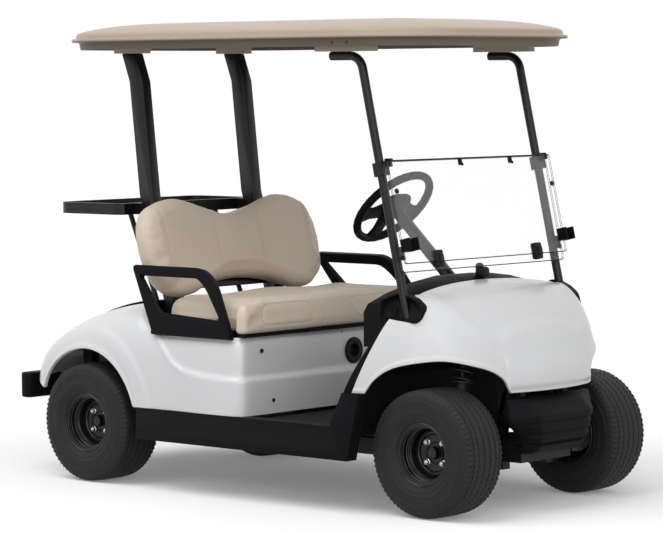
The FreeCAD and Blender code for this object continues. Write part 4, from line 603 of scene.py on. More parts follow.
rings = [[(x, y, z) for x, y in cushion_outline(i)] for i, z in CUSHION_LEVELS]
pad = piece("bench_cushion", ring_loft(rings), "seat_vinyl", 60, "seat")
puffed(pad, 0.01, lambda c: c[:, 2] < CUSHION_LEVELS[0][1] + 0.012)
co = coords(pad)
lo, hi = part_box("seat_cushion")
# Two seats' worth of dish in the top with a low ridge between, inside the solid's space
top = np.clip((co[:, 2] - 0.7) / 0.03, 0, 1)
dish = 0.01 * np.exp(-((np.abs(co[:, 1]) - 0.27) / 0.16) ** 2)
dish *= np.clip((ahead(0.8) - co[:, 0]) / 0.12, 0, 1)
co[:, 2] += top * (0.0024 * np.exp(-(co[:, 1] / 0.1) ** 2) - dish)
co[:, 0] = np.clip(co[:, 0], lo.x + 0.0005, hi.x + 0.004)
co[:, 2] = np.clip(co[:, 2], lo.z + 0.0004, hi.z + 0.004)
side = np.where(co[:, 0] > ahead(0.795), 0.579, 0.4945)
co[:, 1] = np.clip(co[:, 1], -side, side)
set_coords(pad, co)
ovals = [soft_polygon(oval, 0.035, 8) for oval in (OVAL_LEFT, OVAL_RIGHT)]
ovals = [oval + oval[:1] for oval in ovals]
for oval in ovals:
    groove(pad, YZ, oval, 0.0022, 0.0035, front)
for shift in (0.0, SEAM_GAP):
    groove(pad, YZ, [(y + shift, z) for y, z in SEAM], 0.0024, 0.003, front)
for shift in (0.0, SEAM_GAP):
    line = [(ahead(x), y + shift) for x, y in TOP_SEAM]
    groove(pad, XY, line, 0.0022, 0.0032, over)
edge = cushion_outline(0.036)
groove(pad, XY, edge + edge[:1], 0.0018, 0.0032, over)
smooth(pad, 60)
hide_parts("seat_cushion")
x = ahead(0.9)
for index, oval in enumerate(ovals):
    stitches(f"cushion_stitch_oval_{index}", pad, [(x, y, z) for y, z in oval], "seat")
stitches("cushion_stitch_seam", pad, [(x, y + SEAM_GAP / 2, z) for y, z in SEAM], "seat")


# Seat back
BACK_Y = mm([0, 130, 275, 395, 468, 492, 470, 395, 290, 150])
BACK_Z = mm([1042, 1070, 1106, 1090, 1035, 930, 800, 735, 728, 770])
LEAN = radians(17.0)
HINGE_X, HINGE_Z = ahead(0.35), 0.725
BACK_LEVELS = mm([
    (46, 7), (28, 9), (12, 17), (4, 30), (1, 50), (3, 72), (10, 88), (24, 98), (40, 99.5)])
BACK_WAY = np.array([cos(LEAN), 0, sin(LEAN)])
BACK_SEAMS = ((-0.118, -0.13), (0.118, 0.13), (-0.405, -0.392), (0.405, 0.392))


def spline_rows(p0, p1, p2, p3, t):
    """Points of a smooth curve from p1 to p2 at the shares t."""
    return 0.5 * (2 * p1 + (p2 - p0) * t + (2 * p0 - 5 * p1 + 4 * p2 - p3) * t * t
                  + (3 * p1 - p0 - 3 * p2 + p3) * t ** 3)


def line_length(points):
    """Length along a line at each of its points."""
    return np.concatenate([[0], np.cumsum(np.linalg.norm(np.diff(points, axis=0), axis=1))])


def resampled(values, at, given):
    """Rows of values at other places along a line."""
    return np.stack([np.interp(at, given, column) for column in values.T], 1)


def back_outline(count=160):
    """Even points on a smooth closed curve round the back, in its own plane."""
    stretch = 1 / cos(LEAN)
    right_half = list(zip(BACK_Y, BACK_Z))
    left_half = [(-y, z) for y, z in reversed(right_half[1:])]
    pts = np.array([(y, (z - HINGE_Z) * stretch)
                    for y, z in right_half + [(0.0, 0.786)] + left_half])
    t = (np.arange(16) / 16)[:, None]
    rolled = [np.roll(pts, shift, axis=0) for shift in (1, 0, -1, -2)]
    loop = np.vstack([spline_rows(*four, t) for four in zip(*rolled)])
    loop = np.vstack([loop, loop[:1]])
    gone = line_length(loop)
    return resampled(loop, np.linspace(0, gone[-1], count, endpoint=False), gone)


def inset_loop(loop, distance):
    """Moves a loop inward by a distance."""
    along = np.roll(loop, -1, axis=0) - np.roll(loop, 1, axis=0)
    normal = np.stack([-along[:, 1], along[:, 0]], 1)
    normal /= np.linalg.norm(normal, axis=1, keepdims=True)
    if np.mean(((loop.mean(0) - loop) * normal).sum(1)) < 0:
        normal = -normal
    return loop + normal * distance


def on_back(depth, y, h):
    """Point of the leaning back: depth behind its front plane, y across and h up it."""
    return Vector((HINGE_X - depth * cos(LEAN) - h * sin(LEAN), y,
                   HINGE_Z - depth * sin(LEAN) + h * cos(LEAN)))


def back_depth(co):
    """How far points lie behind the back's front plane."""
    return (HINGE_X - co[:, 0]) * cos(LEAN) + (HINGE_Z - co[:, 2]) * sin(LEAN)


def back_face(c, n):
    return np.clip(((n @ BACK_WAY) - 0.25) / 0.3, 0, 1)


loop = back_outline()
rings = [[on_back(depth, y, h) for y, h in inset_loop(loop, inset)]
         for inset, depth in BACK_LEVELS]
pad = piece("bench_back", ring_loft(rings), "seat_vinyl", 60)
puffed(pad, 0.011, lambda c: back_depth(c) > 0.093)
# Keep the pad inside the space of its solid, front and back
co = coords(pad)
depth = back_depth(co)
co += BACK_WAY * (np.clip(depth - 0.0997, 0, None) - np.clip(-depth, 0, None))[:, None]
set_coords(pad, co)
for top, low in BACK_SEAMS:
    for shift in (0.0, 0.01):
        line = [(top + shift, 1.12), ((top + low) / 2 + shift, 0.93), (low + shift, 0.7)]
        groove(pad, YZ, line, 0.0022, 0.003, back_face)
# Shallow lumbar hollow low in the middle
co, no = coords(pad), rows_of(pad, "normal").astype(float)
off = (co[:, 1] / 0.17) ** 2 + ((co[:, 2] - 0.825) / 0.045) ** 2
set_coords(pad, co - no * (0.008 * np.exp(-off) * back_face(co, no))[:, None])
smooth(pad, 60)
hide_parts("seat_back")
x = HINGE_X + 0.2
for index, (top, low) in enumerate(BACK_SEAMS):
    high_z, low_z = (1.05, 0.8) if abs(top) < 0.2 else (1.06, 0.77)
    for k, shift in enumerate((-0.0035, 0.0135)):
        stitches(f"back_stitch_{index}_{k}", pad,
                 [(x, top + shift, high_z), (x, (top + low) / 2 + shift, 0.93),
                  (x, low + shift, low_z)], "chassis")


# Hip restraints: rounded moulded loops
LOOP_OUTER = mm([
    (222, 850), (600, 850), (665, 800), (780, 606), (780, 590), (374, 590), (374, 606)])
LOOP_INNER = mm([(268, 812), (575, 812), (625, 775), (722, 658), (398, 676)])
LOOP_ROUNDS = ([0.03, 0.05, 0.05, 0.02, 0.01, 0.01, 0.02], [0.016, 0.03, 0.03, 0.025, 0.025])
LOOP_HALF, LOOP_LEAN, LOOP_Y, LOOP_FOOT_Z = 0.0148, radians(12.0), 0.568, 0.606


def restraint_piece(name, side):
    """Loop between two outlines, with rounded edges, leaning in at its top."""
    bm = bmesh.new()
    layers = []
    for y in (-LOOP_HALF, LOOP_HALF):
        rings = [[bm.verts.new((x, y, z))
                  for x, z in soft_polygon([(ahead(x), z) for x, z in outline], rounds, 6)]
                 for outline, rounds in zip((LOOP_OUTER, LOOP_INNER), LOOP_ROUNDS)]
        layers.append(rings)
    for rings in layers:
        edges = [bm.edges.new((ring[i], ring[(i + 1) % len(ring)]))
                 for ring in rings for i in range(len(ring))]
        bmesh.ops.triangle_fill(bm, use_beauty=True, use_dissolve=False, edges=edges)
    for lo, hi in zip(*layers):
        for i in range(len(lo)):
            j = (i + 1) % len(lo)
            bm.faces.new((lo[i], lo[j], hi[j], hi[i]))
    turned_out(bm)
    flattened(bm, 0.01)
    data = bpy.data.meshes.new(name)
    bm.to_mesh(data)
    bm.free()
    turn = Matrix.Rotation(LOOP_LEAN, 4, "X") @ Matrix.Translation((0, 0, -LOOP_FOOT_Z))
    data.transform(Matrix.Translation((0, LOOP_Y, LOOP_FOOT_Z)) @ turn)
    if side < 0:
        data.transform(Matrix.Scale(-1, 4, (0, 1, 0)))
        data.flip_normals()
    obj = add_object(name, data)
    bevelled(obj, 0.009, 4, 50)
    return fitted(obj, "black_plastic", "chassis", "black_plastic", 40)


restraints = [restraint_piece("restraint_" + key, side) for key, side in SIDES]
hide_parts("hip_restraints")


# Sun top: lip all round, riser and a crowned top, with painted shade on its skirt and underside
ROOF_LEVELS = mm([
    (39, 1694.5), (39, 1666), (38.5, 1664.5), (36.5, 1664), (34.5, 1665), (33.5, 1668), (30, 1688),
    (24, 1692.5), (4, 1693.2), (1, 1694.5), (0, 1697.5), (0, 1701.5), (1, 1704.5), (4, 1706),
    (12, 1705.8), (15, 1707), (16.5, 1710), (18.5, 1718), (21, 1723.5), (26, 1727.5), (34, 1730.5),
    (48, 1734.5), (70, 1739.5), (100, 1745), (140, 1751), (190, 1757), (250, 1762), (320, 1766),
    (400, 1769), (470, 1769.8), (520, 1770)])
ROOF_INNER = [(i + 0.005, z - 0.005) for i, z in ROOF_LEVELS[::-1] if i > 0.047]
ROOF_INNER += [(0.044, 1.719), (0.0392, 1.715)]
ROOF_LIP_Z, ROOF_CROWN_Z = 1.693, 1.765
CORNER_STEPS, EDGE_STEPS = 14, 12


def roof_ring(inset, z):
    x0, x1, half = ahead(-0.262) + inset, ahead(1.64) - inset, 0.56 - inset
    corner = max(0.33 - inset, half * 0.3)
    corners = []
    for cx, cy, start in ((x1 - corner, -half + corner, -90), (x1 - corner, half - corner, 0),
                          (x0 + corner, half - corner, 90), (x0 + corner, -half + corner, 180)):
        angles = [radians(start + 90 * k / CORNER_STEPS) for k in range(CORNER_STEPS + 1)]
        corners.append([(cx + corner * cos(a), cy + corner * sin(a)) for a in angles])
    out = []
    for points, after in zip(corners, corners[1:] + corners[:1]):
        (px, py), (qx, qy) = points[-1], after[0]
        out += points + [(px + (qx - px) * k / EDGE_STEPS, py + (qy - py) * k / EDGE_STEPS)
                         for k in range(1, EDGE_STEPS)]
    return [(x, y, z) for x, y in out]


rings = [roof_ring(i, z) for i, z in ROOF_INNER + ROOF_LEVELS]
top = piece("sun_top", ring_loft(rings), "roof_beige", 40)
# Skirt faces and faces under the crown take the darker finish: painted shade under the sun top
top.data.materials.append(MAT["roof_underside_painted_shade"])
for face in top.data.polygons:
    inside = face.center.z < ROOF_CROWN_Z and face.normal.z < -0.3
    face.material_index = int(face.center.z < ROOF_LIP_Z or inside)
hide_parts("roof")


# Steering wheel: ring with a moulded grip, three webbed spokes and a padded hub
COLUMN = radians(42.9)
WHEEL_CENTRE = Vector((ahead(0.843), 0.28, 1.052))
GRIP_R, GRIP_THICK, GRIP_WAVE, GRIP_WAVES = 0.1685, 0.0163, 0.0008, 30
HUB = mm([(30, -20), (62, -16), (74, -4), (74, 4), (66, 11), (35, 16.5), (4, 17.5)])
SPOKE_ANGLES = (105, 180, 255)
SPOKE = mm([(35, 52, 8.5), (70, 42, 7.5), (110, 34, 7), (145, 40, 7.5), (164, 58, 8.5)])
SHAFT_R, SHAFT_ENDS = 0.0118, (-0.079, -0.012)

made = Parts()
ring = [(x, y, 0) for x, y in circle(120, GRIP_R)]
radii = [GRIP_THICK - GRIP_WAVE * (0.5 + 0.5 * cos(2 * pi * k / 120 * GRIP_WAVES))
         for k in range(120)]
made.add(tube(ring, radii, 18, closed=True))
lobes = [1 - 0.1 * cos(6 * pi * k / 48) for k in range(48)]
made.add(ring_loft([[(r * lobe * c, r * lobe * s, z)
                     for lobe, (c, s) in zip(lobes, circle(48))] for r, z in HUB]))
spoke = ring_loft([[(t, wide * c, thick * s) for c, s in circle(16)]
                   for t, wide, thick in SPOKE])
for angle in SPOKE_ANGLES:
    made.add(spoke, Matrix.Rotation(radians(angle), 4, "Z"))
made.add(ring_loft([[(x, y, z) for x, y in circle(24, SHAFT_R)] for z in SHAFT_ENDS]))
z_axis = Vector((-cos(COLUMN), 0, sin(COLUMN)))
x_axis = Vector((0, 1, 0)).cross(z_axis).normalized()
place = Matrix((x_axis, z_axis.cross(x_axis), z_axis)).transposed().to_4x4()
place.translation = WHEEL_CENTRE
wheel = Parts()
wheel.add(made.form, place)
grip = piece("steering_grip", wheel.form, "black_plastic", 40, "steering_wheel")
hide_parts("steering_wheel")


# Body skins: white mouldings over the control profiles of the solids, with rolled lips
def smoothstep(value):
    t = np.clip(value, 0.0, 1.0)
    return t * t * (3 - 2 * t)


def spline_weights(count, at):
    """Weights of the control rows of an end-clamped cubic spline at the given parameters."""
    spans = count - 3
    knots = np.array([0.0] * 4 + list(range(1, spans)) + [spans] * 4)
    at = np.clip(at, 0, spans - 1e-9)[:, None]
    weights = ((at >= knots[:-1]) & (at < knots[1:])).astype(float)
    for degree in range(1, 4):
        left, right = knots[:-degree - 1], knots[degree + 1:]
        rise, fall = knots[degree:-1] - left, right - knots[1:-degree]
        up_part = np.where(rise > 0, (at - left) / np.where(rise > 0, rise, 1), 0)
        down_part = np.where(fall > 0, (right - at) / np.where(fall > 0, fall, 1), 0)
        weights = up_part * weights[:, :-1] + down_part * weights[:, 1:]
    return weights


def bezier_weights(t):
    return np.stack([(1 - t) ** 3, 3 * t * (1 - t) ** 2, 3 * t * t * (1 - t), t ** 3], 1)


SKIN_WALL = 0.0035
SKIN_NEAR = np.array([0, 0.0012, 0.0026, 0.0042, 0.006, 0.0085, 0.0115, 0.015, 0.019, 0.024, 0.03])
SKIN_LIP = mm([(-0.6, 0.9), (-2, 1.4), (-12, 1.4), (-13, 0.6), (-13, -1), (-12, -1.8), (-4.6, -2)])
REAR_COLUMNS, COWL_COLUMNS = 620, 330


def skin_columns(stations, columns):
    """Dense profiles with outward normals at even parameters along the stations."""
    poles = np.array(stations, float)
    weights = spline_weights(len(poles), np.linspace(0, len(poles) - 3, columns))
    profile = np.einsum("un,nkc->ukc", weights, poles)
    curves = np.einsum("ukc,vk->uvc", profile, bezier_weights(np.linspace(0, 1, 241)))
    normal = np.cross(np.gradient(curves, axis=0), np.gradient(curves, axis=1))
    normal /= np.linalg.norm(normal, axis=2, keepdims=True) + 1e-12
    middle = columns // 2
    outward = curves[middle, 60] - curves.reshape(-1, 3).mean(0)
    if normal[middle, 60] @ outward < 0:
        normal = -normal
    return curves, normal


def unit_rows(rows):
    return rows / (np.linalg.norm(rows, axis=-1, keepdims=True) + 1e-12)


def moulded_skin(name, stations, columns, clearance, relief, far_rows=34):
    """Closed skin trimmed where the clearance turns negative, with relief along its normals."""
    curves, normal = skin_columns(stations, columns)
    share = np.linspace(0, 1, curves.shape[1])
    rings = []
    for curve, away in zip(curves, normal):
        left_over = clearance(curve)
        under = np.nonzero(left_over <= 0)[0]
        start = 0.0
        if len(under):
            i = min(under[-1], len(share) - 2)
            span = left_over[i + 1] - left_over[i]
            start = (i - left_over[i] / max(span, 1e-9)) / (len(share) - 1)
        fine = np.linspace(start, 1, len(share))
        pts, out = resampled(curve, fine, share), resampled(away, fine, share)
        gone = line_length(pts)
        near = SKIN_NEAR * min(1.0, gone[-1] * 0.4 / SKIN_NEAR[-1])
        at = np.concatenate([near, np.linspace(near[-1], gone[-1], far_rows + 1)[1:]])
        pts, out = resampled(pts, at, gone), unit_rows(resampled(out, at, gone))
        down = unit_rows(pts[0] - pts[1])
        pts = pts + out * relief(pts, at, start > 0)[:, None]
        lip = [pts[0] + out[0] * n + down * t for n, t in SKIN_LIP]
        inner = [pts[k] - out[k] * SKIN_WALL for k in [*range(4, len(at), 2), -1]]
        rings.append(list(pts[::-1]) + lip + inner)
    return piece(name, ring_loft(rings), "body_white", 42)


def mirrored_stations(half):
    """Stations of both sides from the left ones, the first of which is on the middle line."""
    return [[(x, -y, z) for x, y, z in station] for station in half[:0:-1]] + half


def cut_away(obj, rings):
    """Takes a closed form out of an object."""
    data = new_mesh("cutter", ring_loft(rings))
    edited(data, turned_out)
    tool = add_object("cutter", data)
    modified(obj, "BOOLEAN", operation="DIFFERENCE", solver="EXACT", object=tool)
    bpy.data.objects.remove(tool)
    bpy.data.meshes.remove(data)


COWL_LOW_Z = 0.437
COWL_LOW_X = mm([1862, 1857, 1842, 1815, 1765, 1700, 1625, 1540, 1450, 1380])
COWL_LOW_Y = mm([0, 90, 170, 255, 370, 450, 501, 537, 565, 583])
COWL_HIGH_X = mm([1505, 1507, 1511, 1517, 1525, 1531, 1535, 1535, 1524, 1493])
COWL_HIGH_Y = mm([0, 80, 160, 240, 320, 380, 424, 455, 484, 503])
COWL_HIGH_Z = mm([822, 821, 818, 812, 803, 793, 780, 762, 735, 704])
COWL_RISE = [0.42, 0.42, 0.42, 0.43, 0.45, 0.46, 0.47, 0.47, 0.42, 0.36]
COWL_ROLL = [0.66, 0.66, 0.68, 0.72, 0.74, 0.7, 0.62, 0.52, 0.42, 0.34]
NOSE_TUCK = 0.06
HOOD_FALL = 0.12
HOOD_X = mm([1530, 1575, 1645, 1705, 1740, 1775])
HOOD_Y = mm([405, 388, 352, 318, 285, 220])
HOOD_END = 1.768
HOOD_DEPTH, HOOD_FADE = 0.0075, 0.034
FRONT_ARCH_X = mm([1426, 1462, 1520, 1600, 1690, 1765, 1803, 1822])
FRONT_ARCH_Z = mm([434, 485, 526, 548, 556, 530, 492, 434])
ARCH_INNER_Y = 0.17
LIP_HEIGHT, LIP_WIDTH, LIP_FADE = 0.0026, 0.011, 0.008
NOSE_BEVEL, NOSE_BEVEL_WIDTH, NOSE_BEVEL_X = 0.0025, 0.022, 1.7
NOSE_SWELL, NOSE_SWELL_FADE = 0.008, 0.11


def profile(low, climb_way, high, roll, drop=0.0):
    """Four poles of a profile from its low to its high point."""
    return [low, low + climb_way,
            high + [(low[0] - high[0]) * roll, (low[1] - high[1]) * roll, -drop], high]


def cowl_stations():
    half = []
    last = len(COWL_LOW_X) - 1
    for i in range(last + 1):
        low = np.array([ahead(COWL_LOW_X[i]), COWL_LOW_Y[i], COWL_LOW_Z])
        high = np.array([ahead(COWL_HIGH_X[i]), COWL_HIGH_Y[i], COWL_HIGH_Z[i]])
        rise = high[2] - low[2]
        poles = profile(low, [(high[0] - low[0]) * NOSE_TUCK, 0, rise * COWL_RISE[i]],
                        high, COWL_ROLL[i], rise * (1 - COWL_ROLL[i]) * HOOD_FALL)
        # The last two profiles turn into a straight rear edge
        straight = {last: 1.0, last - 1: 0.5}.get(i, 0.0)
        for point in poles[1:3]:
            line_x = low[0] + (high[0] - low[0]) * (point[2] - low[2]) / rise
            point[0] += (line_x - point[0]) * straight
        half.append(poles)
    return mirrored_stations(half)


def open_curve(points, steps=12):
    """Smooth open line through the given 2-D points."""
    pts = np.array(points, float)
    pts = np.vstack([2 * pts[0] - pts[1], pts, 2 * pts[-1] - pts[-2]])
    t = np.linspace(0, 1, steps, endpoint=False)[:, None]
    out = [spline_rows(*four, t) for four in zip(pts, pts[1:], pts[2:], pts[3:])]
    return np.vstack(out + [pts[-2:-1]])


FRONT_ARCH = open_curve(list(zip(FRONT_ARCH_X, FRONT_ARCH_Z)))


def cowl_clearance(curve):
    x, y = curve[:, 0] - REAR_AXLE_X, np.abs(curve[:, 1])
    line = np.interp(x, FRONT_ARCH[:, 0], FRONT_ARCH[:, 1], left=0.0, right=0.0)
    return np.where(y > ARCH_INNER_Y, curve[:, 2] - line, 1.0)


def cowl_relief(points, above_edge, trimmed):
    x, y = points[:, 0] - REAR_AXLE_X, np.abs(points[:, 1])
    inside = np.minimum(np.interp(x, HOOD_X, HOOD_Y) - y, (HOOD_END - x) * 1.2)
    depth = -HOOD_DEPTH * smoothstep(inside / HOOD_FADE + 0.5)
    if trimmed or x[0] < NOSE_BEVEL_X:
        depth = depth + LIP_HEIGHT * (1 - smoothstep((above_edge - LIP_WIDTH) / LIP_FADE))
    else:
        depth = depth - NOSE_BEVEL * (1 - smoothstep(above_edge / NOSE_BEVEL_WIDTH))
        swell = smoothstep((above_edge - NOSE_BEVEL_WIDTH / 4) / NOSE_BEVEL_WIDTH)
        swell *= 1 - smoothstep((above_edge - 0.05) / NOSE_SWELL_FADE)
        depth = depth + NOSE_SWELL * swell
    return depth


NOTCH_X = mm([1300, 1300, 1480, 1591, 1603, 1605, 1566, 1530, 1480])
NOTCH_Z = mm([900, 706.5, 702, 685, 700, 742, 770, 782, 900])
NOTCH_ROUND = mm([1, 1, 1, 16, 10, 18, 10, 10, 1])

cowl = moulded_skin("front_cowl_skin", cowl_stations(), COWL_COLUMNS, cowl_clearance,
                    cowl_relief)
notch = soft_polygon([(ahead(x), z) for x, z in zip(NOTCH_X, NOTCH_Z)], NOTCH_ROUND, 6)
for side in (-1, 1):
    cut_away(cowl, [[(x, side * y, z) for x, z in notch] for y in (0.4, 0.62)])
smooth(cowl, 42)
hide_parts("front_cowl")


# Rear body: the pod's sides stand back above a soft ledge and the arches carry a flare
BODY_SIDE = 0.598
REAR_LOW_X = mm([
    -425, -424, -405, -340, -230, -90, 80, 200, 280, 360, 500, 620, 720, 780, 815, 835, 846, 848,
    848, 848, 848])
REAR_LOW_Y = [0.0, 0.3846, 0.6689, 0.8445, 0.9465, 0.99, 1.0, 1.0, 1.0,
              1.0, 1.0, 1.0, 1.0, 0.9983, 0.99, 0.9699, 0.9365, 0.8863, 0.66, 0.33, 0.0005]
REAR_LOW_Z = [0.39, 0.39, 0.385, 0.37, 0.34] + [0.3123] * 16
REAR_HIGH_X = mm([
    -380, -380, -355, -285, -180, -60, 80, 190, 240, 345, 480, 605, 705, 760, 790, 808, 818, 822,
    822, 822, 822])
REAR_HIGH_Y = [0.0, 0.3679, 0.5769, 0.6438, 0.6438, 0.6321, 0.6271, 0.6271, 0.6689, 0.903, 0.9281,
               0.9331, 0.9331, 0.9298, 0.9214, 0.908, 0.8863, 0.8495, 0.64, 0.32, 0.0005]
REAR_HIGH_Z = [0.47, 0.474, 0.486, 0.52, 0.585, 0.645, 0.684, 0.699, 0.696, 0.6] + [0.599] * 11
REAR_RISE = [0.5, 0.5, 0.5, 0.52, 0.56, 0.6, 0.62, 0.63, 0.63, 0.64] + [0.6] * 11
REAR_ROLL = [0.7, 0.7, 0.72, 0.8, 0.85, 0.9, 0.92, 0.92, 0.92, 0.94] + [0.96] * 11
REAR_ARCH_X, REAR_ARCH_R = 0.01, 0.29
LEDGE_X = mm([366, 387, 413, 481, 543, 660, 774, 900])
LEDGE_Z = mm([680, 606, 554, 487, 457, 443, 438, 436])
LEDGE_DEPTH, LEDGE_RISE = 0.013, 0.026
FLARE_R, FLARE_FADE, FLARE_DEPTH = 0.362, 0.03, 0.0055
FLARE_REACH, FLARE_RETURN = 0.5, 0.16
FRONT_RIM_X, FRONT_RIM_Z, FRONT_RIM_FADE = 0.33, 0.5996, 0.004
ARCH_DIP, ARCH_DIP_FADE = 0.002, 0.03
PORT_Y, PORT_Z, PORT_HOLE = 0.05, 0.513, 0.0283


def rear_stations():
    half = []
    for i in range(len(REAR_LOW_X)):
        low = np.array([ahead(REAR_LOW_X[i]), BODY_SIDE * REAR_LOW_Y[i], REAR_LOW_Z[i]])
        high = np.array([ahead(REAR_HIGH_X[i]), BODY_SIDE * REAR_HIGH_Y[i], REAR_HIGH_Z[i]])
        half.append(profile(low, [0, 0, (high[2] - low[2]) * REAR_RISE[i]], high, REAR_ROLL[i]))
    return mirrored_stations(half)


def arch_distance(points):
    return np.hypot(points[:, 0] - ahead(REAR_ARCH_X), points[:, 2] - TYRE_R)


def rear_relief(points, above_edge, trimmed):
    x, z = points[:, 0] - REAR_AXLE_X, points[:, 2]
    off = seam_distance(np.stack([x, z], 1), list(zip(LEDGE_X, LEDGE_Z)))
    off = np.where(x > np.interp(z, LEDGE_Z[::-1], LEDGE_X[::-1], left=9.0), off, -off)
    at_rim = np.where(x > FRONT_RIM_X, smoothstep((FRONT_RIM_Z - z) / FRONT_RIM_FADE), 1.0)
    depth = -LEDGE_DEPTH * smoothstep((off + 0.002) / LEDGE_RISE) * at_rim
    ring = arch_distance(points)
    flare = smoothstep((ring - FLARE_R) / FLARE_FADE)
    flare *= 1 - smoothstep((ring - FLARE_REACH) / FLARE_RETURN)
    depth = depth - FLARE_DEPTH * flare * (off < 0.0)
    if trimmed:
        dip = smoothstep((above_edge - LIP_WIDTH) / LIP_FADE)
        dip *= 1 - smoothstep((above_edge - ARCH_DIP_FADE) / ARCH_DIP_FADE)
        depth = depth - ARCH_DIP * dip
    return depth


skin = moulded_skin("rear_body_skin", rear_stations(), REAR_COLUMNS,
                    lambda c: arch_distance(c) - REAR_ARCH_R, rear_relief)
cut_away(skin, [[(ahead(x), PORT_Y + y, PORT_Z + z) for y, z in circle(48, PORT_HOLE)]
                for x in (0.78, 0.88)])
smooth(skin, 42)
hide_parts("rear_body", "pod_panel")


# Mouldings taken from the solids with their edges softened
def softened(name, node, mat, width, segments=2, cutters=()):
    """Copy of a node's shape with rounded edges that stands for the node."""
    data = nodes[node].data.copy()
    data.name = name
    edited(data, lambda bm: joined(bm, 1e-5), lambda bm: flattened(bm, 0.02))
    obj = add_object(name, data)
    for (x0, y0, z0), (x1, y1, z1) in cutters:
        cut_away(obj, [[(x0, y0, z), (x1, y0, z), (x1, y1, z), (x0, y1, z)] for z in (z0, z1)])
    bevelled(obj, width, segments, 30)
    fitted(obj, mat, "chassis", mat, 38)
    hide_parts(node)


DASH_SIDE, FAR_SIDE = 0.4795, 0.7
softened("dash_moulding", "dash", "black_plastic", 0.004,
         cutters=[((-1.2, DASH_SIDE, 0.2), (1.2, FAR_SIDE, 1.0)),
                  ((-1.2, -FAR_SIDE, 0.2), (1.2, -DASH_SIDE, 1.0))])
softened("sill_mouldings", "sills", "black_plastic", 0.004)
softened("rear_bumper_beam", "rear_bumper", "black_plastic", 0.008, 3)
softened("rear_strut_boxes", "rear_struts", "strut_black", 0.005)
softened("roof_bracket_plates", "roof_brackets", "roof_beige", 0.0015)


# Bag deck: tray with a bead that laps over the rear body's edge
DECK_FLOOR_Z, DECK_FRONT, DECK_FRONT_POINTS = 0.4803, ahead(0.128), 24
DECK_BEAD = mm([(-11, -1.5), (-10.5, 1.2), (-7, 3.4), (0, 3.6), (4, 2.4), (5.5, -1.5)])
DECK_RIM = mm([(7.5, 12), (10.5, 20)])
DECK_FOOT = mm([(12.5, 18), (15, 8), (20.5, 2.5), (30, 0)])

edge = []
for curve, out in zip(*skin_columns(rear_stations(), REAR_COLUMNS)):
    if curve[-1][0] < DECK_FRONT:
        inward = curve[-1] - curve[-3]
        inward[2] = 0
        edge.append((curve[-1], out[-1], inward / np.linalg.norm(inward)))
first, last = edge[0][0], edge[-1][0]
for k in range(1, DECK_FRONT_POINTS):
    point = last + (first - last) * k / DECK_FRONT_POINTS
    edge.append((point, np.array([0, 0, 1.0]), np.array([-1.0, 0, 0])))
rings = [[tuple(p + inward * along + out * above) for p, out, inward in edge]
         for along, above in DECK_BEAD]
rings += [[(*(p + inward * inset)[:2], max(p[2] - drop, DECK_FLOOR_Z + 0.02))
           for p, out, inward in edge] for inset, drop in DECK_RIM]
rings += [[(*(p + inward * inset)[:2], DECK_FLOOR_Z + z) for p, out, inward in edge]
          for inset, z in DECK_FOOT]
deck = piece("bag_deck_tray", ring_loft(rings, cap_first=False), "black_plastic", 38)
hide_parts("bag_deck")


# Strips that cap the cowl's rear edges and run up to the struts' boots
TRIM_WIDTH, TRIM_DEPTH, TRIM_POINTS = 0.036, 0.01, 40
TRIM_SECTION = [(-0.006, -0.0042), (0.0006, -0.0042), (0.0006, -0.0012), (0.003, -0.0004),
                (TRIM_WIDTH - 0.004, -0.001), (TRIM_WIDTH - 0.001, -0.0026),
                (TRIM_WIDTH, -0.0055), (TRIM_WIDTH, -TRIM_DEPTH), (-0.006, -TRIM_DEPTH)]

curves, normal = skin_columns(cowl_stations(), COWL_COLUMNS)
end, inner = (-1, -2) if curves[-1][:, 1].mean() > 0 else (0, 1)
section_rings = []
for k in np.linspace(0, curves.shape[1] - 1, TRIM_POINTS).astype(int):
    point, out = curves[end][k], normal[end][k]
    back_way = point - curves[inner][k]
    back_way = back_way - out * (back_way @ out)
    back_way /= np.linalg.norm(back_way)
    section_rings.append([point + back_way * b + out * o for b, o in TRIM_SECTION])
for key, side in SIDES:
    rings = [[(x, side * y, z) for x, y, z in ring] for ring in section_rings]
    piece("cowl_trim_" + key, ring_loft(rings), "black_plastic", 40)


# Boots that fill the notch round each front strut's foot
BOOT_FACE = mm([(1492, 503, 704), (1603, 470, 714), (1566, 458, 770)])
BOOT_X = mm([1440, 1480, 1590.5, 1602.5, 1604.5, 1565.5, 1530, 1495, 1430])
BOOT_Z = mm([704, 702.5, 685.5, 700.5, 741.5, 769.5, 782, 792, 765])
BOOT_ROUND = mm([4, 4, 16, 10, 18, 10, 20, 20, 12])
BOOT_PROFILE = [(0.034, 1.0), (0.003, 1.0), (0.0015, 0.99), (0.0012, 0.9), (0.003, 0.875),
                (0.027, 0.84)]

system = np.array([[x, z, 1.0] for x, y, z in BOOT_FACE])
slope_x, slope_z, at_zero = np.linalg.solve(system, [y for x, y, z in BOOT_FACE])
outline = soft_polygon(list(zip(BOOT_X, BOOT_Z)), BOOT_ROUND, 5)
mx, mz = np.mean(BOOT_X), np.mean(BOOT_Z)
for key, side in SIDES:
    rings = [[(ahead(mx + (x - mx) * shrink),
               side * (slope_x * x + slope_z * z + at_zero - sunk), mz + (z - mz) * shrink)
              for x, z in outline] for sunk, shrink in BOOT_PROFILE]
    piece("strut_boot_" + key, ring_loft(rings), "black_plastic", 35)


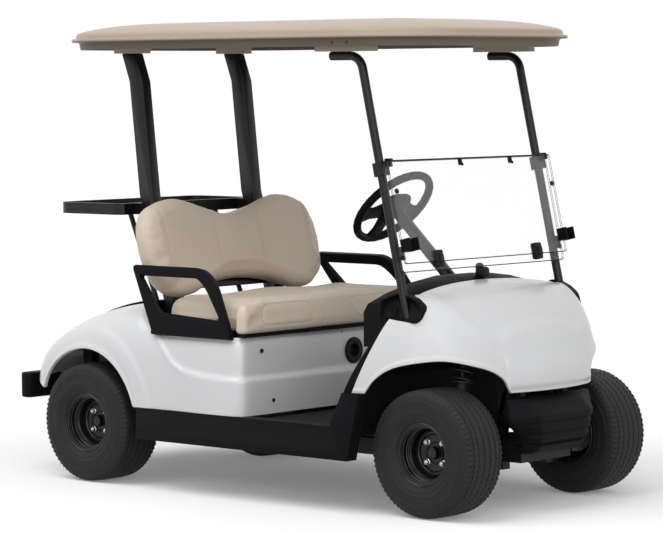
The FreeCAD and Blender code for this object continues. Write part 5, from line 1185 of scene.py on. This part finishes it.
# Front bumper: rounded moulding with a bevel, two grooves and a lip
BUMPER_Z = mm([
    412, 408, 394, 378, 362, 354, 350, 340, 329, 326, 321, 315, 312, 298, 290, 287, 282, 276, 273,
    262, 252, 246, 240, 222, 214, 210])
BUMPER_GROOVE = mm([
    6, 0, 0, 0, 1, 1, 0, 0, 1, 5, 5.5, 2, 0, 0, 1, 5, 5.5, 2, 0, 1, 6, 10, 2, 0, 4, 10])
BUMPER_REAR_X = 1.7983
BUMPER_NOSE_X = ([0.21, 0.24, 0.26, 0.352, 0.412], [1.852, 1.878, 1.886, 1.888, 1.832])
BUMPER_NOSE_Y = ([0.21, 0.25, 0.356, 0.412], [0.135, 0.148, 0.165, 0.14])
BUMPER_WING_X = ([0.21, 0.3, 0.335, 0.412], [1.812, 1.83, 1.826, 1.814])
BUMPER_WING_Y = ([0.21, 0.25, 0.3, 0.332, 0.412], [0.152, 0.17, 0.196, 0.246, 0.238])

rings = []
for z, step in zip(BUMPER_Z, BUMPER_GROOVE):
    nose_x, wing_x = np.interp(z, *BUMPER_NOSE_X) - step, np.interp(z, *BUMPER_WING_X)
    nose_y = np.interp(z, *BUMPER_NOSE_Y) - step / 2
    wing_y = np.interp(z, *BUMPER_WING_Y) - step / 2
    plan = [(BUMPER_REAR_X, -wing_y), (wing_x, -wing_y), (nose_x, -nose_y),
            (nose_x, nose_y), (wing_x, wing_y), (BUMPER_REAR_X, wing_y)]
    outline = soft_polygon(plan, [0.002, 0.01, 0.03, 0.03, 0.01, 0.002], 8)
    rings.append([(ahead(x), y, z) for x, y in outline])
bumper = piece("front_bumper_cover", ring_loft(rings), "black_plastic", 32)
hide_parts("front_bumper")


# Charge port: bezel, inner cap and pins round the socket
POD_FACE_X = ahead(0.834)
BEZEL = mm([
    (26.5, 0.5), (49, 0.5), (50.2, 3), (49, 6.2), (45.5, 7.8), (40, 6.8), (36.5, 7.4), (29, 7.2),
    (26.5, 5)])
PORT_CAP = mm([
    (1, -18), (23.6, -18), (23.6, -13.5), (21.5, -12), (14, -11.5), (13, -8.5), (6, -8), (1, -8)])
PIN = mm([(1, -12), (3, -12), (3, -6), (1, -5.5)])
PIN_CIRCLE, PIN_ANGLES = 0.018, (90, 210, 330)


def along_x(form):
    """Turns a form made about Y so that its axis points ahead."""
    return [(y, -x, z) for x, y, z in form[0]], form[1]


made = Parts()
made.add(along_x(lathe(BEZEL, 72)))
made.add(along_x(turned_cap(PORT_CAP, 40)))
for a in map(radians, PIN_ANGLES):
    offset = (0, PIN_CIRCLE * cos(a), PIN_CIRCLE * sin(a))
    made.add(shifted(along_x(turned_cap(PIN, 14)), offset))
piece("port_bezel", shifted(made.form, (POD_FACE_X, PORT_Y, PORT_Z)), "rubber", 35,
      slot="black_plastic")


# Screws of the pod's front and of the roof brackets
SCREW_HEIGHT = 0.0035
SCREW = [(0.0, -0.002), (1, -0.002), (1, 0.0021), (0.85, SCREW_HEIGHT), (0.62, SCREW_HEIGHT),
         (0.5, SCREW_HEIGHT * 0.35), (0.0, SCREW_HEIGHT * 0.3)]
POD_SCREWS = mm([(835, 464, 547), (848, 417, 361)])
ROOF_SCREWS = mm([(1245, 525.8, 1679), (1315, 525.8, 1679)])


def make_screws(name, places, radius, outward):
    """Dished heads with a raised rim at both sides' places. outward gives their way per side."""
    head = turned_cap([(max(radius * share, 0.0005), y) for share, y in SCREW], 24)
    made = Parts()
    for x, y, z in places:
        for side in (-1, 1):
            turn = Vector((0, 1, 0)).rotation_difference(Vector(outward(side)))
            place = Matrix.Translation((ahead(x), side * y, z))
            made.add(head, place @ turn.to_matrix().to_4x4())
    piece(name, made.form, "rubber", 35, slot="black_plastic")


make_screws("pod_screws", POD_SCREWS, 0.0075, lambda side: (1, 0, 0))
make_screws("roof_screws", ROOF_SCREWS, 0.006, lambda side: (0, side, 0))


# Windshield: painted shade lines round both panes' edges, knobs, rubber stops and the rest on the
# dash
STRUT_FOOT_X, STRUT_FOOT_Z, STRUT_LEAN = ahead(1.533), 0.69, atan2(0.216, 0.94)
PANE_HALF, PANE_THICK, PANE_CORNER = 0.47, 0.006, 0.012
LOWER_PANE = (0.024, 0.862, 1.262)
UPPER_PANE = (0.044, 0.89, 1.262)


def leaned(x, y, z):
    """Point given beside an upright strut, turned to the strut's lean. x is ahead of the strut."""
    rise = z - STRUT_FOOT_Z
    return (STRUT_FOOT_X + x * cos(STRUT_LEAN) - rise * sin(STRUT_LEAN), y,
            STRUT_FOOT_Z + x * sin(STRUT_LEAN) + rise * cos(STRUT_LEAN))


# Radii and offset of the painted shade lines round the panes' edges
PANE_LINE, PANE_SIDE_LINE, PANE_LINE_OFF = 0.0015, 0.0009, 0.0002


def painted_pane_shade(name, pane, body):
    """Painted shade: a dark tube in the rubber finish round a clear sheet's edge, standing for the
    dark line the sheet shows there.
    """
    x0, z0, z1 = pane
    outline = soft_polygon([(-PANE_HALF, z0), (PANE_HALF, z0), (PANE_HALF, z1), (-PANE_HALF, z1)],
                           PANE_CORNER, 5)
    radii = [PANE_LINE if min(abs(z - z0), abs(z - z1)) < PANE_CORNER / 2 else PANE_SIDE_LINE
             for y, z in outline]
    made = Parts()
    for x in (x0 - PANE_LINE_OFF, x0 + PANE_THICK + PANE_LINE_OFF):
        made.add(tube([leaned(x, y, z) for y, z in outline], radii, 8, closed=True))
    piece(name, made.form, "rubber", 60, body, "clear_pane", clean=False)


painted_pane_shade("painted_pane_shade_lower", LOWER_PANE, "chassis")
painted_pane_shade("painted_pane_shade_upper", UPPER_PANE, "windshield")


def soft_block(made, low, high, corner, place=lambda x, y, z: (x, y, z), steps=5):
    """Rounded block between two corners, passed through a placing function."""
    (x0, y0, z0), (x1, y1, z1) = low, high
    plan = soft_polygon([(x0, y0), (x1, y0), (x1, y1), (x0, y1)], corner, steps)
    mx, my = (x0 + x1) / 2, (y0 + y1) / 2
    angles = [pi / 2 * k / steps for k in range(steps + 1)]
    levels = [(corner * (1 - sin(a)), z0 + corner * (1 - cos(a))) for a in angles]
    levels += [(inset, z0 + z1 - z) for inset, z in reversed(levels)]
    rings = []
    for inset, z in levels:
        sx, sy = 1 - inset * 2 / (x1 - x0), 1 - inset * 2 / (y1 - y0)
        rings.append([place(mx + (x - mx) * sx, my + (y - my) * sy, z) for x, y in plan])
    made.add(ring_loft(rings))


# Blocks on the upper pane, as x from its front face, half width and z, about their middle line y
STOP_Y, CLIP_Y = (-0.288, 0.288), (-0.064, 0.229)
STOPS = (((-0.0125, 0.019, 0.868), (0.014, 0.93), 0.006),
         ((0.008, 0.011, 0.88), (0.022, 0.915), 0.005))
CLIPS = (((-PANE_THICK - 0.004, 0.004, 1.236), (0.006, 1.2595), 0.0018),
         ((0.002, 0.004, 1.232), (0.01, 1.242), 0.0018))
KNOB = mm([(0.5, 0), (8.5, 0), (9.8, 2), (9.8, 5), (8, 6.4), (0.5, 6.7)])
FOLD_KNOB, CLAMP_KNOB = (0.452, 1.15), (0.456, 0.913)
REST_BLOCKS = (((1.468, 0.002, 0.82), (1.508, 0.046, 0.858), 0.012),
               ((1.462, 0.01, 0.815), (1.486, 0.038, 0.872), 0.01))

moving, fixed = Parts(), Parts()
front = UPPER_PANE[0] + PANE_THICK
for blocks, middles in ((STOPS, STOP_Y), (CLIPS, CLIP_Y)):
    for y in middles:
        for (x0, half, z0), (x1, z1), corner in blocks:
            soft_block(moving, (front + x0, y - half, z0), (front + x1, y + half, z1), corner,
                       leaned)
lean = Matrix.Rotation(-STRUT_LEAN, 4, "Y")
knob = along_x(turned_cap(KNOB, 24))
for side in (-1, 1):
    for made, x, (y, z) in ((moving, front, FOLD_KNOB),
                            (fixed, LOWER_PANE[0] + PANE_THICK, CLAMP_KNOB)):
        made.add(knob, Matrix.Translation(leaned(x, side * y, z)) @ lean)
for (x0, y0, z0), (x1, y1, z1), corner in REST_BLOCKS:
    soft_block(fixed, (ahead(x0), y0, z0), (ahead(x1), y1, z1), corner)
piece("windshield_stops", moving.form, "rubber", 40, "windshield", "black_plastic")
piece("windshield_rest", fixed.form, "rubber", 40, slot="black_plastic")


# Lights, floor and background
SUNS = {"key": ((-0.22, -0.42, 0.88), 0.5, 50), "front": ((0.76, -0.22, 0.62), 0.18, 60),
        "low": ((0.64, -0.74, 0.2), 0.28, 60)}
WORLD_LEVEL = 0.44
FLOOR_GLOW = 0.17
FLOOR_COLOUR = (0.84, 0.84, 0.845, 1)
FLOOR_BOUNCE = (0.42, 0.42, 0.42, 1)
FLOOR_HALF, FLOOR_Z = 60, -0.0005
WHITE = (1, 1, 1, 1)

# Distant lamps: direction, share of a fully lit face and width in degrees
for name, (way, share, width) in SUNS.items():
    data = bpy.data.lights.new(name, "SUN")
    data.energy = pi * share
    data.angle = radians(width)
    add_object(name, data).rotation_euler = Vector(way).to_track_quat("Z", "Y").to_euler()


def seen_directly(graph, hidden, seen):
    """The second shader for rays from the camera, a gloss or a clear sheet, else the first."""
    paths = graph.node("LightPath").outputs
    either = graph.node("Math", {0: paths["Is Camera Ray"], 1: paths["Is Transmission Ray"]},
                        operation="MAXIMUM")
    any_of = graph.node("Math", {0: either, 1: paths["Is Glossy Ray"]}, operation="MAXIMUM")
    graph.show(graph.node("MixShader", {0: any_of, 1: hidden, 2: seen}))


world = bpy.data.worlds.new("studio")
bpy.context.scene.world = world
g = Graph(world, "OutputWorld")
seen_directly(g, g.node("Background", Color=WHITE, Strength=WORLD_LEVEL),
              g.node("Background", Color=WHITE, Strength=1.0))

g = new_material("floor")
lit = g.node("AddShader", {0: g.node("BsdfDiffuse", Color=FLOOR_COLOUR),
                           1: g.node("Emission", Color=WHITE, Strength=FLOOR_GLOW)})
seen_directly(g, g.node("BsdfDiffuse", Color=FLOOR_BOUNCE), lit)
corners = [(x * FLOOR_HALF, y * FLOOR_HALF, FLOOR_Z)
           for x, y in ((-1, -1), (1, -1), (1, 1), (-1, 1))]
floor = add_object("floor", new_mesh("floor", (corners, [(0, 1, 2, 3)])))
floor.data.materials.append(MAT["floor"])
